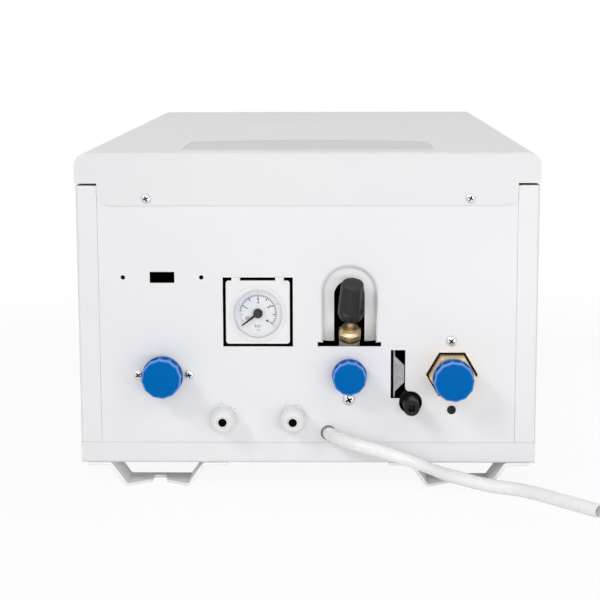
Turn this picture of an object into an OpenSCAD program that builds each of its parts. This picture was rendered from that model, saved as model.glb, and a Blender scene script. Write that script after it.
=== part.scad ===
// Wall-hung electric boiler, lying on its back on its rear brackets.
// +X is to the right of its underside, +Y runs to its top end and +Z to its front cover.
// The origin is under the middle of the boiler, on the surface that the brackets stand on.
// Places on the underside are measured from its outer face, from the middle line
// and from the back panel.

/* [Housing] */
// Width across the front cover
cover_w = 410; // [396:2:440]
// Length of the front cover, from the underside to the top end
cover_l = 740; // [640:10:860]
// Depth from the back panel to the front of the cover
body_d = 280; // [260:5:320]
// Height of the sides of the cover
cover_side_h = 27; // [22:1:40]
// Radius of the long edges of the cover
cover_edge_r = 12; // [6:1:16]
// Radius of the bends at the two ends of the cover
cover_bend_r = 3; // [2.5:0.5:5]
// Thickness of the sheet metal
sheet = 1.5; // [1:0.1:2]
// Inner radius of the folds in the sheet metal
fold_r = 1.2; // [0.5:0.1:2]
// Width of the folded strips round the underside
strip_w = 19; // [16:1:22]
// Width of the flaps that are folded inwards
flap_w = 14; // [10:1:18]
// Height of the tongue that the cover hangs over the underside
tongue_h = 19.5; // [14:0.5:24]
// Corner radius of that tongue
tongue_r = 10.5; // [4:0.5:12]
// Shadow gap under the sides of the cover
cover_gap = 2; // [1:0.5:4]
// Seam left between neighbouring panels
seam = 0.2; // [0.2:0.1:0.5]

/* [Control panel] */
// Width of the grey control panel in the cover
fascia_w = 227; // [160:1:280]
// Distance of the control panel from the underside
fascia_y = 36; // [24:1:60]
// Length of the straight sides of the control panel
fascia_l = 105; // [70:1:140]
// Height of the arc at the far side of the control panel
fascia_arc = 28; // [8:1:40]

/* [Rear brackets] */
// Height of the rear brackets
bracket_h = 22; // [18:1:30]
// Sheet thickness of the brackets
bracket_t = 2.5; // [1.5:0.5:3]
// Length of each bracket along the boiler
bracket_l = 37.5; // [32:0.5:50]
// Distance from the side of the boiler to the middle of a bracket
bracket_inset = 68.5; // [66:0.5:90]
// Width of the bottom of a bracket
bracket_foot_w = 58; // [46:1:66]
// Width between the upper ends of its webs
bracket_web_w = 86; // [76:1:96]
// Width across its two flanges
bracket_flange_w = 126; // [116:1:130]
// Width of the hook notch in the bottom of a bracket
notch_w = 13; // [9:0.5:18]
// Depth of the hook notch
notch_l = 29; // [22:0.5:31]
// Depth of the flare in front of the notch
notch_flare = 14; // [8:0.5:16]
// Distance of the upper pair of brackets from the underside
upper_bracket_y = 600; // [420:10:620]

/* [Pipe connections] */
// Distance from the edge of the underside to the flow and return connections
port_inset = 56.5; // [50:0.5:64]
// Height of the three connections above the back panel
port_h = 81.5; // [76:0.5:90]
// Offset of the filling connection from the middle line
fill_x = 37.5; // [30:0.5:40]
// Outer radius of the flow and return stubs
port_r = 13.2; // [12:0.1:14]
// Bore radius of the flow and return stubs
port_bore_r = 9.5; // [8:0.1:10.5]
// Outer radius of the filling stub
fill_r = 10.4; // [9:0.1:11.5]
// Projection of the flow cap in front of the underside
flow_cap_l = 23.5; // [20:0.5:28]
// Projection of the return cap in front of the underside
return_cap_l = 35; // [33:0.5:38]
// Projection of the filling cap in front of the underside
fill_cap_l = 21.5; // [19:0.5:24]
// Length of a cap
cap_l = 15.5; // [13:0.5:18]
// Radius of the flow and return caps
cap_r = 18; // [16.5:0.1:19]
// Radius of the filling cap
fill_cap_r = 15.3; // [13.5:0.1:16]
// Wall of the end of a cap
cap_wall = 2.5; // [1.5:0.1:3.5]
// Width across the flats of the nut on the return connection
return_nut_af = 35.8; // [34:0.1:36.4]
// Gap round that nut in the underside
return_nut_gap = 2.15; // [0.8:0.05:2.5]
// Spacing of the two fixing screws of the flow connection
flow_screw_pitch = 46; // [42:1:56]

/* [Filling valve] */
// Width of the pressed recess round the filling valve
scoop_w = 53.5; // [46:0.5:56]
// Length of the recess
scoop_l = 74.5; // [62:0.5:80]
// Height of the lower end of the recess above the back panel
scoop_h = 107; // [102:0.5:112]
// Depth of the recess at its lower end
scoop_d = 21; // [16:0.5:24]
// Depth of the recess at its upper end
scoop_rim_d = 4; // [3.5:0.5:8]
// Radius of the rim of the recess
scoop_rim_r = 1.5; // [1:0.1:1.5]
// Width of the slot in the floor of the recess
scoop_slot_w = 27.4; // [25:0.1:30]
// Lean of the valve towards the front of the recess
valve_tilt = 26; // [20:1:32]
// Lean of the valve to the right
valve_side = 2.5; // [0:0.5:3]
// Distance of the valve to the right of its connection
valve_shift = 0.7; // [0:0.1:1]
// Depth of the top of the bonnet behind the underside
valve_y = 10; // [8:0.5:14]
// Height of the top of the bonnet above the back panel
valve_h = 122.8; // [118:0.1:126]
// Radius of the knob over its lobes
knob_r = 11.7; // [9:0.1:11.8]
// Length of the knob
knob_l = 38; // [30:0.5:44]
// Radius of the valve body
valve_r = 9.2; // [8:0.1:9.4]
// Radius of the valve stem
stem_r = 3; // [2.5:0.1:4]
// Width across the flats of the bonnet nut
bonnet_af = 19.5; // [17:0.5:20]

/* [Pressure gauge] */
// Offset of the gauge from the middle line
gauge_x = -44; // [-48:0.5:-40]
// Height of the middle of the gauge above the back panel
gauge_h = 138.1; // [132:0.1:146]
// Side of the square flange of the gauge
gauge_w = 56.8; // [50:0.2:60]
// Gap round the flange in the underside
gauge_gap = 2.8; // [1.5:0.1:3]
// Distance of the dial below the middle of the flange
dial_drop = 1.6; // [0:0.1:2]
// Radius of the dial
dial_r = 21.7; // [17:0.1:22.5]
// Radius of the clear lens
lens_r = 25.7; // [23.5:0.1:27]
// Length of the pointer from its axis
pointer_l = 18.3; // [13:0.1:20]
// Angle of the zero mark from straight down
dial_zero = 52.5; // [40:0.5:60]

/* [Glands, drain and openings] */
// Height of the cable glands above the back panel
gland_h = 42.2; // [41:0.1:46]
// Spacing of the two cable glands
gland_pitch = 62.4; // [58:0.1:68]
// Bore radius of a cable gland
gland_bore_r = 3.8; // [2:0.1:4]
// Width across the flats of a cable gland
gland_af = 23.2; // [23.2:0.1:25]
// Projection of a cable gland
gland_l = 22; // [16:0.5:26]
// Distance between the return connection and the drain cock
drain_gap = 36.7; // [36:0.1:38]
// Height of the drain cock above the back panel
drain_h = 56; // [52:0.5:60]
// Radius of the hole round the drain cock
drain_hole_r = 10.3; // [9.5:0.1:11]
// Radius of the drain spindle
spindle_r = 7.1; // [6:0.1:8]
// Projection of the drain spindle
spindle_l = 24; // [12:0.5:26]
// Side of the square socket in the spindle
socket_w = 5.8; // [4:0.1:7]
// Width of the slot beside the drain cock
drain_slot_w = 13; // [9:0.5:14]
// Height of the upper end of that slot above the back panel
drain_slot_h = 103.8; // [96:0.1:104]
// Offset of the hose outlet from the middle line
hose_x = 18.7; // [17:0.1:20]
// Height of the hose outlet above the back panel
hose_h = 28; // [27:0.1:29]
// Radius of the hose outlet
hose_hole_r = 6.8; // [6.5:0.1:7.5]
// Outer diameter of the drain hose
hose_d = 12; // [10:0.5:12]
// Width of the rectangular cable opening
outlet_w = 22; // [14:0.5:26]
// Height of the rectangular cable opening
outlet_l = 10; // [7:0.5:12]
// Height of the middle of the cable opening above the back panel
outlet_h = 169.3; // [160:0.1:176]
// Spacing of the small holes on both sides of the cable opening
outlet_hole_pitch = 69.8; // [50:0.1:72]
// Radius of those small holes
outlet_hole_r = 2; // [1.5:0.1:3]
// Distance from the underside to the board inside
board_y = 70; // [60:1:90]

/* [Hidden] */
$fn = 64;

// overall places
side_reveal = 0.5;
chassis_l = cover_l - 2 * sheet;
chassis_w = cover_w - 2 * side_reveal;
face_y = (return_cap_l - chassis_l - sheet) / 2;
back_z = bracket_h;
top_z = back_z + body_d;
lip_z = top_z - cover_side_h;
side_top_z = lip_z - cover_gap;
inner_z = back_z + sheet;
strip_top_z = back_z + strip_w;
panel_w = chassis_w - 2 * strip_w;
panel_top_z = side_top_z - 2 * sheet;
lap_w = 0.75 * flap_w;
fold_steps = 4;
fascia_recess = 0.4;
fascia_t = 3.5;
fascia_lap = 6;
board_t = 5;

// connections and what holds them behind the underside
clamp_t = 3;
clamp_y = sheet + clamp_t;
flange_t = 3;
flange_y = clamp_y + flange_t;
port_x = panel_w / 2 - port_inset;
port_z = back_z + port_h;
port_flange_w = 5;
port_clamp_side = 7;
stub_clearance = 0.1;
return_hole_af = return_nut_af + 2 * return_nut_gap;
return_screw_up = 30.7;
return_screw_down = 32.2;
clamp_margin = 6.5;
fill_screw_down = 22.7;
screw_hole_r = 2;
plug_r = 4;
plug_pin_r = 2.4;
plug_head = 0.4;
plug_z = port_z - return_screw_down;

// caps
cap_fit = 0.15;
cap_sides = 12;
cap_turn = 9;
cap_bevel = 1.5;
cap_rim_t = 2.5;
cap_rim_out = 0.3;
cap_flute_r = 11;
cap_flute_d = 0.7;
return_nut_out = return_cap_l - cap_l - 3;

// recess and filling valve
scoop_z = back_z + scoop_h;
scoop_wall = 3.5;
scoop_floor_r = 2;
scoop_slot_top = 16;
scoop_cuts = 1;
scoop_relief_w = 1.6;
scoop_relief_l = 4;
valve_z = back_z + valve_h;
bonnet_l = 4.5;
collar_l = 2.3;
collar_r = 7.6;
cone_l = 2.2;
cone_r = bonnet_af / 2 - 0.3;
bonnet_lap = 1;
head_l = bonnet_l + cone_l + collar_l;
collar_dish_r = 5.4;
collar_dish_d = 1.4;
knob_lift = 9.5;
knob_turn = -28;
flute_r = 3.2;
flute_in = 1.7;
flute_low = 12;
stem_up = knob_lift + knob_l / 2;
stem_down = 6;
junction_y = valve_y + (valve_z - port_z) * tan(valve_tilt);
junction_l = (valve_z - port_z) / cos(valve_tilt);
tail_r = 7;
running = 0.05;

// gauge
gauge_z = back_z + gauge_h;
strip_part_in = 1;
strip_part_z = gauge_z + gauge_w / 2 + gauge_gap - strip_part_in;
dial_z = gauge_z - dial_drop;
gauge_front = 1;
gauge_corner_r = 2.6;
gauge_flange_t = 3;
gauge_wall = 3;
gauge_depth = 22;
clip_x = 19.4;
clip_w = 7.6;
clip_t = 2;
clip_reach = 3;
lens_t = 1.6;
lens_dome = 0.6;
lens_lip = 0.6;
dial_y = 4.4;
dial_t = 0.8;
housing_y = dial_y + dial_t;
hub_r = 4.2;
hub_y = 0.8;
hub_t = 2.6;
pin_r = 0.8;
pin_l = 5;
needle_w = 2.4;
needle_t = 0.8;

// glands
gland_z = back_z + gland_h;
gland_hex_t = 5;
left_gland_turn = 8;
right_gland_turn = 30;
thread_r = 10;
thread_l = 16;
gland_neck_r = 8;
gland_neck_l = 8;
gland_nose_r = 4.9;
gland_claws = 14;
claw_gap = 1.2;
claw_d = 0.7;
dome_r = 11.6;
dome_ribs = 18;
dome_rib_r = 0.8;

// drain and hose
drain_x = port_x - drain_gap;
drain_z = back_z + drain_h;
drain_neck_r = 4;
slot_left_x = drain_x - 17.9;
slot_low_z = drain_z + 3.7;
slot_top_z = back_z + drain_slot_h;
spindle_bevel = 0.8;
spindle_seat_y = 12;
shank_r = 5;
shank_l = 12;
socket_d = 8;
plate_t = 1.2;
plate_y = 4;
hose_z = back_z + hose_h;
outlet_z = back_z + outlet_h;
hose_sides = 12;
nozzle_gap = 0.3;

// route of the drain hose, measured from the underside, the middle line and the ground
HOSE_ROUTE = [[16.8, 16, 50], [17.2, 8, 50], [18.8, -0.3, 50], [21.8, -8.8, 49.9],
  [27, -18.2, 49.5], [35, -27.5, 48.7], [46, -35.8, 47.4], [59.9, -41.6, 45.1],
  [75.6, -43.8, 41.1], [92.1, -41.4, 34.8], [107.5, -34.2, 26.6], [123.2, -24, 18.3],
  [139.7, -18.5, 12.2], [154.7, -18, 8.2], [169.9, -21.2, 6], [186.1, -29, 6], [202.2, -43.1, 6],
  [218, -60.7, 6], [233, -78.2, 6], [247.9, -95.6, 6]];

// ---- placing ----

module at_face() {
  translate([0, face_y, 0]) children();
}

// turns a shape drawn in X and Z into a solid in the plane of the underside,
// from the depth y0 behind it to the depth y1
module upright(y0, y1) {
  translate([0, y1, 0]) rotate([90, 0, 0]) linear_extrude(y1 - y0) children();
}

// turns a shape drawn in Y and Z into a solid of the width w across the middle line
module across(w) {
  translate([-w / 2, 0, 0]) rotate([90, 0, 90]) linear_extrude(w) children();
}

// round bar along Y
module bar(x, z, r, y0, y1) {
  translate([x, y0, z]) rotate([-90, 0, 0]) cylinder(r = r, h = y1 - y0);
}

// hexagonal bar along Y with two flats level
module hex_bar(x, z, af, y0, y1) {
  translate([x, y0, z]) rotate([-90, 0, 0]) cylinder(r = af / sqrt(3), h = y1 - y0, $fn = 6);
}

module round_rect(w, h, r) {
  square([w - 2 * r, h], center = true);
  square([w, h - 2 * r], center = true);
  for (x = [-1, 1], y = [-1, 1])
    translate([x * (w / 2 - r), y * (h / 2 - r)]) circle(r);
}

// ---- folded sheet metal ----

function unit(v) = v / norm(v);
function left_of(v) = [-v[1], v[0]];
function turned(v, a) = [v[0] * cos(a) - v[1] * sin(a), v[0] * sin(a) + v[1] * cos(a)];
function reversed(p) = [for (i = [len(p) - 1:-1:0]) p[i]];

// points of one face of a sheet folded along a path, at the distance d to the left of
// its middle line, where r is the radius of the middle line in each fold
function fold_face(path, r, d) = [
  for (i = [0:len(path) - 1])
    let (
      last = len(path) - 1,
      a = unit(path[max(i, 1)] - path[max(i, 1) - 1]),
      b = unit(path[min(i + 1, last)] - path[min(i, last - 1)]),
      turn = atan2(a[0] * b[1] - a[1] * b[0], a * b),
      centre = path[i] - a * r * tan(abs(turn) / 2) + sign(turn) * r * left_of(a)
    )
    each i == 0 || i == last
      ? [path[i] + d * left_of(a)]
      : [for (k = [0:fold_steps])
          centre + (d - sign(turn) * r) * left_of(turned(a, turn * k / fold_steps))]
];

module fold(path, t) {
  r = fold_r + t / 2;
  polygon(concat(fold_face(path, r, t / 2), reversed(fold_face(path, r, -t / 2))));
}

// ---- housing ----

module back_panel() {
  mid = sheet / 2;
  lap_x = panel_w / 2 - 5 * flap_w;
  color("white") at_face() {
    across(chassis_w) fold([[mid, strip_top_z], [mid, back_z + mid], [chassis_l, back_z + mid]],
      sheet);
    for (s = [-1, 1]) translate([s * lap_x - 2 * flap_w, sheet, strip_top_z - lap_w / 2])
      cube([4 * flap_w, sheet, lap_w]);
  }
}

// right-hand side panel; the left one is its mirror image
module side_panel() {
  mid = sheet / 2;
  wall_x = chassis_w / 2 - sheet;
  corner_z = strip_top_z + seam;
  at_face() {
    translate([0, 0, corner_z]) linear_extrude(side_top_z - corner_z)
      fold([[panel_w / 2 + seam, mid], [wall_x + mid, mid], [wall_x + mid, chassis_l]], sheet);
    translate([wall_x, sheet, inner_z]) cube([sheet, chassis_l - sheet, corner_z - inner_z + 1]);
    translate([wall_x - flap_w, sheet, side_top_z - sheet])
      cube([flap_w + sheet / 2, chassis_l - sheet, sheet]);
    translate([panel_w / 2 - lap_w, sheet, corner_z + lap_w])
      cube([2 * lap_w, sheet, panel_top_z - corner_z - lap_w]);
  }
}

module left_side_panel() {
  color("white") mirror([1, 0, 0]) side_panel();
}

module right_side_panel() {
  color("white") side_panel();
}

module top_panel() {
  mid = sheet / 2;
  color("white") at_face() across(chassis_w - 2 * sheet)
    fold([[chassis_l - flap_w, inner_z + mid], [chassis_l - mid, inner_z + mid],
      [chassis_l - mid, side_top_z - sheet]], sheet);
}

module inner_board() {
  w = chassis_w - 2 * sheet - 2 * seam;
  color("black") at_face() translate([-w / 2, board_y, inner_z])
    cube([w, board_t, panel_top_z - inner_z]);
}

// ---- underside ----

// arch drawn from its straight lower end upwards, reaching the distance below under it
function arch(w, l, below) = concat([[w / 2, -below]],
  [for (a = [0:7.5:180]) [w / 2 * cos(a), l - w / 2 + w / 2 * sin(a)]], [[-w / 2, -below]]);

// thin slice of the recess, inset by the distance given, on the plane that lies at the
// depth low at its lower end and at the depth high at its upper end
module scoop_slice(inset, low, high, below) {
  multmatrix([[1, 0, 0, 0], [0, 1, (high - low) / scoop_l, low], [0, 0, 1, 0], [0, 0, 0, 1]])
    upright(0, 0.01) polygon(arch(scoop_w - 2 * inset, scoop_l - inset, below));
}

// the hollow of the recess: a rounded rim, a steep wall and a rounded edge to its floor
module scoop_hollow() {
  steps = [
    [0, -0.01, -0.01],
    for (a = [45, 90]) [scoop_rim_r * sin(a), scoop_rim_r * (1 - cos(a)), scoop_rim_r * (1 - cos(a))],
    for (a = [0, 45, 90]) let (up = scoop_floor_r * (1 - sin(a)))
      [scoop_wall + scoop_floor_r * (1 - cos(a)), scoop_d - up, scoop_rim_d - up]
  ];
  for (k = [0:len(steps) - 2]) hull() {
    scoop_slice(steps[k][0], steps[k][1], steps[k][2], scoop_cuts);
    scoop_slice(steps[k + 1][0], steps[k + 1][1], steps[k + 1][2], scoop_cuts);
  }
}

// recess that is pressed into the underside, with a slot for the valve in its floor
module valve_recess() {
  slot_l = scoop_l - scoop_slot_top;
  color("white") at_face() translate([fill_x, 0, scoop_z]) difference() {
    hull() {
      scoop_slice(0, 0, 0, 0);
      scoop_slice(scoop_wall - sheet, scoop_d + sheet, scoop_rim_d + sheet, 0);
    }
    scoop_hollow();
    upright(scoop_rim_r + 1, scoop_d + 2 * sheet) polygon(arch(scoop_slot_w, slot_l, scoop_cuts));
  }
}

// rounded corner of sheet between a straight edge and the round hole of the drain cock,
// drawn round the middle of the hole, with the edge at the distance x to the left
module drain_neck(x) {
  reach = drain_hole_r + drain_neck_r;
  y = sqrt(reach * reach - (x - drain_neck_r) * (x - drain_neck_r));
  difference() {
    polygon([[-x, y], [-x + drain_neck_r, y], [0, 0], [-x, 0]]);
    translate([-x + drain_neck_r, y]) circle(drain_neck_r);
  }
}

// keyhole-shaped opening of the drain cock
module drain_opening() {
  edge_x = drain_x - slot_left_x - drain_slot_w;
  translate([slot_left_x, slot_low_z]) square([drain_slot_w, slot_top_z - slot_low_z]);
  translate([drain_x, drain_z]) {
    circle(drain_hole_r);
    drain_neck(edge_x);
    mirror([1, 1, 0]) drain_neck(drain_z - slot_low_z);
  }
}

module underside_openings() {
  upright(-1, sheet + 1) {
    translate([gauge_x, gauge_z]) square(gauge_w + 2 * gauge_gap, center = true);
    translate([-port_x, outlet_z]) square([outlet_w, outlet_l], center = true);
    drain_opening();
    translate([fill_x, scoop_z]) polygon(arch(scoop_w, scoop_l, 0));
    translate([fill_x - scoop_w / 2 - scoop_relief_w, scoop_z])
      square([scoop_w + 2 * scoop_relief_w, scoop_relief_l]);
  }
  for (s = [-1, 1]) {
    bar(-port_x + s * outlet_hole_pitch / 2, outlet_z, outlet_hole_r, -1, sheet + 1);
    bar(gauge_x + s * gland_pitch / 2, gland_z, thread_r + stub_clearance, -1, sheet + 1);
  }
  bar(-port_x, port_z, port_r + 1, -1, sheet + 1);
  bar(fill_x, port_z, fill_r + 1, -1, sheet + 1);
  hex_bar(port_x, port_z, return_hole_af, -1, sheet + 1);
  bar(port_x, plug_z, plug_r, -1, sheet + 1);
  bar(hose_x, hose_z, hose_hole_r, -1, sheet + 1);
}

// The underside is one sheet. It is given in three level strips, which part just under the top
// of the gauge cut-out and in line with the pipes, so that its large openings lie at their edges.
module underside_strip(low, high) {
  color("white") at_face() difference() {
    translate([-panel_w / 2, 0, low]) cube([panel_w, sheet, high - low]);
    underside_openings();
  }
}

module bottom_panel_upper() {
  underside_strip(strip_part_z, panel_top_z);
}

module bottom_panel_middle() {
  underside_strip(port_z, strip_part_z);
}

module bottom_panel_lower() {
  underside_strip(strip_top_z + seam, port_z);
}

// ---- front cover ----

// cross-section of the cover, wide and low, with round upper edges
module cover_section(inset) {
  w = cover_w - 2 * inset;
  r = cover_edge_r - inset;
  top = top_z - inset;
  low = lip_z - inset;
  translate([-w / 2, low]) square([w, top - r - low]);
  translate([-w / 2 + r, low]) square([w - 2 * r, top - low]);
  for (s = [-1, 1]) translate([s * (w / 2 - r), top - r]) circle(r);
}

// the same cover seen from its side, with small bends at both ends
module cover_side(inset) {
  y0 = -sheet + inset;
  y1 = chassis_l + sheet - inset;
  r = cover_bend_r - inset;
  top = top_z - inset;
  low = lip_z - 2 * sheet;
  translate([y0, low]) square([y1 - y0, top - r - low]);
  translate([y0 + r, low]) square([y1 - y0 - 2 * r, top - low]);
  for (y = [y0 + r, y1 - r]) translate([y, top - r]) circle(r);
}

module cover_block(inset) {
  intersection() {
    upright(-2 * sheet, chassis_l + 2 * sheet) cover_section(inset);
    across(cover_w + 2) cover_side(inset);
  }
}

// tongue that hangs from the end of the cover over the neighbouring panel
module cover_tongue(y0) {
  low = lip_z - tongue_h;
  upright(y0, y0 + sheet) {
    translate([-panel_w / 2, low + tongue_r]) square([panel_w, tongue_h - tongue_r + sheet]);
    translate([-panel_w / 2 + tongue_r, low]) square([panel_w - 2 * tongue_r, tongue_h]);
    for (s = [-1, 1]) translate([s * (panel_w / 2 - tongue_r), low + tongue_r]) circle(tongue_r);
  }
}

// outline of the control panel, square towards the underside and arched away from it
module fascia_outline(grow) {
  half = fascia_w / 2;
  arc_r = (half * half + fascia_arc * fascia_arc) / (2 * fascia_arc);
  intersection() {
    translate([-half - grow, fascia_y - grow])
      square([fascia_w + 2 * grow, fascia_l + fascia_arc + 2 * grow]);
    translate([0, fascia_y + fascia_l + fascia_arc - arc_r]) circle(arc_r + grow, $fn = 120);
  }
}

module front_cover() {
  color("white") at_face() difference() {
    union() {
      difference() {
        cover_block(0);
        cover_block(sheet);
      }
      cover_tongue(-sheet);
      cover_tongue(chassis_l);
    }
    translate([0, 0, top_z - 2 * sheet]) linear_extrude(3 * sheet) fascia_outline(seam / 2);
  }
}

module control_panel() {
  color("silver") at_face() {
    translate([0, 0, top_z - sheet]) linear_extrude(sheet - fascia_recess) fascia_outline(0);
    translate([0, 0, top_z - fascia_t]) linear_extrude(fascia_t - sheet) fascia_outline(fascia_lap);
  }
}

// ---- rear brackets ----

// hat-shaped section of a bracket
module bracket_section() {
  slope = atan2(bracket_h - bracket_t, (bracket_web_w - bracket_foot_w) / 2);
  shift = bracket_t / 2 * tan(slope / 2);
  foot = bracket_foot_w / 2 - shift;
  web = bracket_web_w / 2 - shift;
  wing = bracket_flange_w / 2;
  high = bracket_h - bracket_t / 2;
  low = bracket_t / 2;
  fold([[-wing, high], [-web, high], [-foot, low], [foot, low], [web, high], [wing, high]],
    bracket_t);
}

// flared notch in the bottom of a bracket, which slides over the neck of a wall hook
module hook_notch() {
  r = 0.3 * notch_w;
  half = bracket_foot_w / 2 - 1;
  polygon([[-half, -1], [-notch_w / 2, notch_flare], [notch_w / 2, notch_flare], [half, -1]]);
  translate([-notch_w / 2, notch_flare - 1]) square([notch_w, notch_l - r - notch_flare + 1]);
  translate([-notch_w / 2 + r, notch_flare - 1]) square([notch_w - 2 * r, notch_l - notch_flare + 1]);
  for (s = [-1, 1]) translate([s * (notch_w / 2 - r), notch_l - r]) circle(r);
}

module bracket(side, y) {
  x = side * (chassis_w / 2 - bracket_inset);
  color("whitesmoke") at_face() translate([x, y, 0]) difference() {
    upright(0, bracket_l) bracket_section();
    translate([0, 0, -1]) linear_extrude(bracket_t + 2) hook_notch();
  }
}

module bracket_lower_left() { bracket(-1, 1); }
module bracket_lower_right() { bracket(1, 1); }
module bracket_upper_left() { bracket(-1, upper_bracket_y); }
module bracket_upper_right() { bracket(1, upper_bracket_y); }

// ---- pressure gauge ----

// clip at the top of the flange, which hooks over the edge of the cut-out
module gauge_clip() {
  translate([-clip_w / 2, -gauge_front, -1])
    cube([clip_w, gauge_front + sheet + clip_t, gauge_gap + 0.9]);
  translate([-clip_w / 2, sheet + stub_clearance, -1])
    cube([clip_w, clip_t, gauge_gap + clip_reach]);
}

module gauge_housing() {
  color("white") at_face() translate([gauge_x, 0, gauge_z]) difference() {
    union() {
      upright(-gauge_front, gauge_flange_t - gauge_front) round_rect(gauge_w, gauge_w, gauge_corner_r);
      bar(0, -dial_drop, dial_r + gauge_wall, 0, gauge_depth);
      for (s = [-1, 1]) translate([s * clip_x, 0, gauge_w / 2]) gauge_clip();
    }
    bar(0, -dial_drop, dial_r, -gauge_front - 1, housing_y);
    bar(0, -dial_drop, pin_r + running, 0, housing_y + pin_l + 1);
  }
}

module gauge_dial() {
  color("lavender") at_face() difference() {
    bar(gauge_x, dial_z, dial_r - stub_clearance, dial_y, housing_y);
    bar(gauge_x, dial_z, pin_r + running, 0, housing_y + 1);
  }
}

module gauge_pointer() {
  needle_y = hub_y + hub_t - 2 * needle_t;
  color("black") at_face() translate([gauge_x, 0, dial_z]) {
    bar(0, 0, hub_r, hub_y, hub_y + hub_t);
    bar(0, 0, pin_r, hub_y + hub_t, housing_y + pin_l);
    rotate([0, dial_zero, 0]) upright(needle_y, needle_y + needle_t)
      polygon([[-needle_w / 2, 0], [needle_w / 2, 0],
        [needle_w / 4, -pointer_l], [-needle_w / 4, -pointer_l]]);
  }
}

// shallow clear dish over the dial, with a lip that stands on the flange
module gauge_lens() {
  inner_r = dial_r + lens_lip;
  // one face of the dish, from its middle to its lip
  dish = [for (k = [0:0.25:1]) [inner_r * k, lens_dome * (1 - k * k)]];
  color("white", 0.3) at_face() translate([gauge_x, -gauge_front - running, dial_z])
    rotate([90, 0, 0]) rotate_extrude() polygon(concat(
      [for (p = dish) p + [0, lens_t - lens_lip]],
      [[inner_r, 0], [lens_r, 0], [lens_r, lens_t - lens_lip], [lens_r - lens_lip, lens_t]],
      [for (p = reversed(dish)) p + [0, lens_t]]));
}

// ---- filling valve ----

// stands things on the leaning axis of the valve, at the top of its bonnet
module on_valve() {
  translate([fill_x + valve_shift, valve_y, valve_z]) rotate([valve_tilt, valve_side, 0]) children();
}

module valve_body() {
  color("gold") at_face() difference() {
    union() {
      bar(fill_x, port_z, fill_r, -fill_cap_l + cap_wall, junction_y);
      bar(fill_x, port_z, fill_r + port_flange_w, clamp_y, flange_y);
      bar(fill_x, port_z, tail_r, junction_y, board_y);
      translate([fill_x, junction_y, port_z]) sphere(fill_r + 1);
      on_valve() translate([0, 0, -junction_l])
        cylinder(r = valve_r, h = junction_l - head_l);
    }
    bar(fill_x, port_z, fill_r - 3, -fill_cap_l, junction_y - fill_r);
  }
}

module valve_bonnet() {
  color("gold") at_face() on_valve() difference() {
    translate([0, 0, -head_l]) union() {
      rotate([0, 0, 30]) cylinder(r = bonnet_af / sqrt(3), h = bonnet_l, $fn = 6);
      rotate_extrude() polygon([[0, bonnet_l - bonnet_lap], [cone_r, bonnet_l - bonnet_lap],
        [cone_r, bonnet_l], [collar_r, bonnet_l + cone_l], [collar_r, head_l], [0, head_l]]);
    }
    translate([0, 0, -collar_dish_d]) cylinder(r = collar_dish_r, h = collar_dish_d + 1);
    translate([0, 0, -stem_down - 1]) cylinder(r = stem_r + running, h = stem_down + 2);
  }
}

module valve_stem() {
  color("goldenrod") at_face() on_valve() translate([0, 0, -stem_down])
    cylinder(r = stem_r, h = stem_down + stem_up);
}

// knob with a flat top, slimmer towards both ends, with four narrow flutes between its lobes
module valve_knob() {
  r = knob_r;
  l = knob_l;
  color([0.12, 0.12, 0.14]) at_face() on_valve() translate([0, 0, knob_lift]) difference() {
    rotate_extrude() polygon([[0, 0], [r - 4.5, 0], [r - 3.1, 0.4], [r - 1.8, 1.6], [r - 0.8, 4],
      [r - 0.2, 6.5], [r, 9.5], [r - 0.1, 14], [r - 0.5, 22], [r - 1, l - 9], [r - 1.6, l - 3],
      [r - 1.8, l - 0.8], [r - 2.3, l - 0.2], [r - 3, l], [0, l]]);
    for (a = [0:90:270]) rotate([0, 0, knob_turn + a]) translate([0, flute_in - r, flute_low]) {
      cylinder(r = flute_r, h = l);
      sphere(flute_r);
    }
    translate([0, 0, -1]) cylinder(r = stem_r + running, h = l / 2 + 1);
  }
}

// ---- pipe connections ----

module flow_fitting() {
  color("gold") at_face() difference() {
    union() {
      bar(-port_x, port_z, port_r, -flow_cap_l + cap_wall, board_y);
      bar(-port_x, port_z, port_r + port_flange_w, clamp_y, flange_y);
    }
    bar(-port_x, port_z, port_bore_r, -flow_cap_l, board_y - 5);
  }
}

module flow_clamp() {
  w = flow_screw_pitch + 2 * clamp_margin;
  h = 2 * (port_r + port_clamp_side);
  color("silver") at_face() difference() {
    translate([-port_x, 0, port_z]) upright(sheet, clamp_y) round_rect(w, h, clamp_margin);
    bar(-port_x, port_z, port_r + stub_clearance, 0, clamp_y + 1);
    for (s = [-1, 1]) bar(-port_x + s * flow_screw_pitch / 2, port_z, screw_hole_r, 0, clamp_y + 1);
  }
}

module return_fitting() {
  color("gold") at_face() difference() {
    union() {
      bar(port_x, port_z, port_r, -return_cap_l + cap_wall, board_y);
      hex_bar(port_x, port_z, return_nut_af, -return_nut_out, clamp_y);
      bar(port_x, port_z, return_nut_af / 2 + port_flange_w, clamp_y, flange_y);
    }
    bar(port_x, port_z, port_bore_r, -return_cap_l, board_y - 5);
  }
}

module return_clamp() {
  h = return_screw_up + return_screw_down + 2 * clamp_margin;
  mid = port_z + (return_screw_up - return_screw_down) / 2;
  color("silver") at_face() difference() {
    translate([port_x, 0, mid]) upright(sheet, clamp_y)
      round_rect(return_hole_af + 2 * port_clamp_side, h, clamp_margin);
    hex_bar(port_x, port_z, return_nut_af + 2 * stub_clearance, 0, clamp_y + 1);
    bar(port_x, port_z + return_screw_up, screw_hole_r, 0, clamp_y + 1);
    bar(port_x, plug_z, plug_pin_r + stub_clearance, 0, clamp_y + 1);
  }
}

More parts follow.
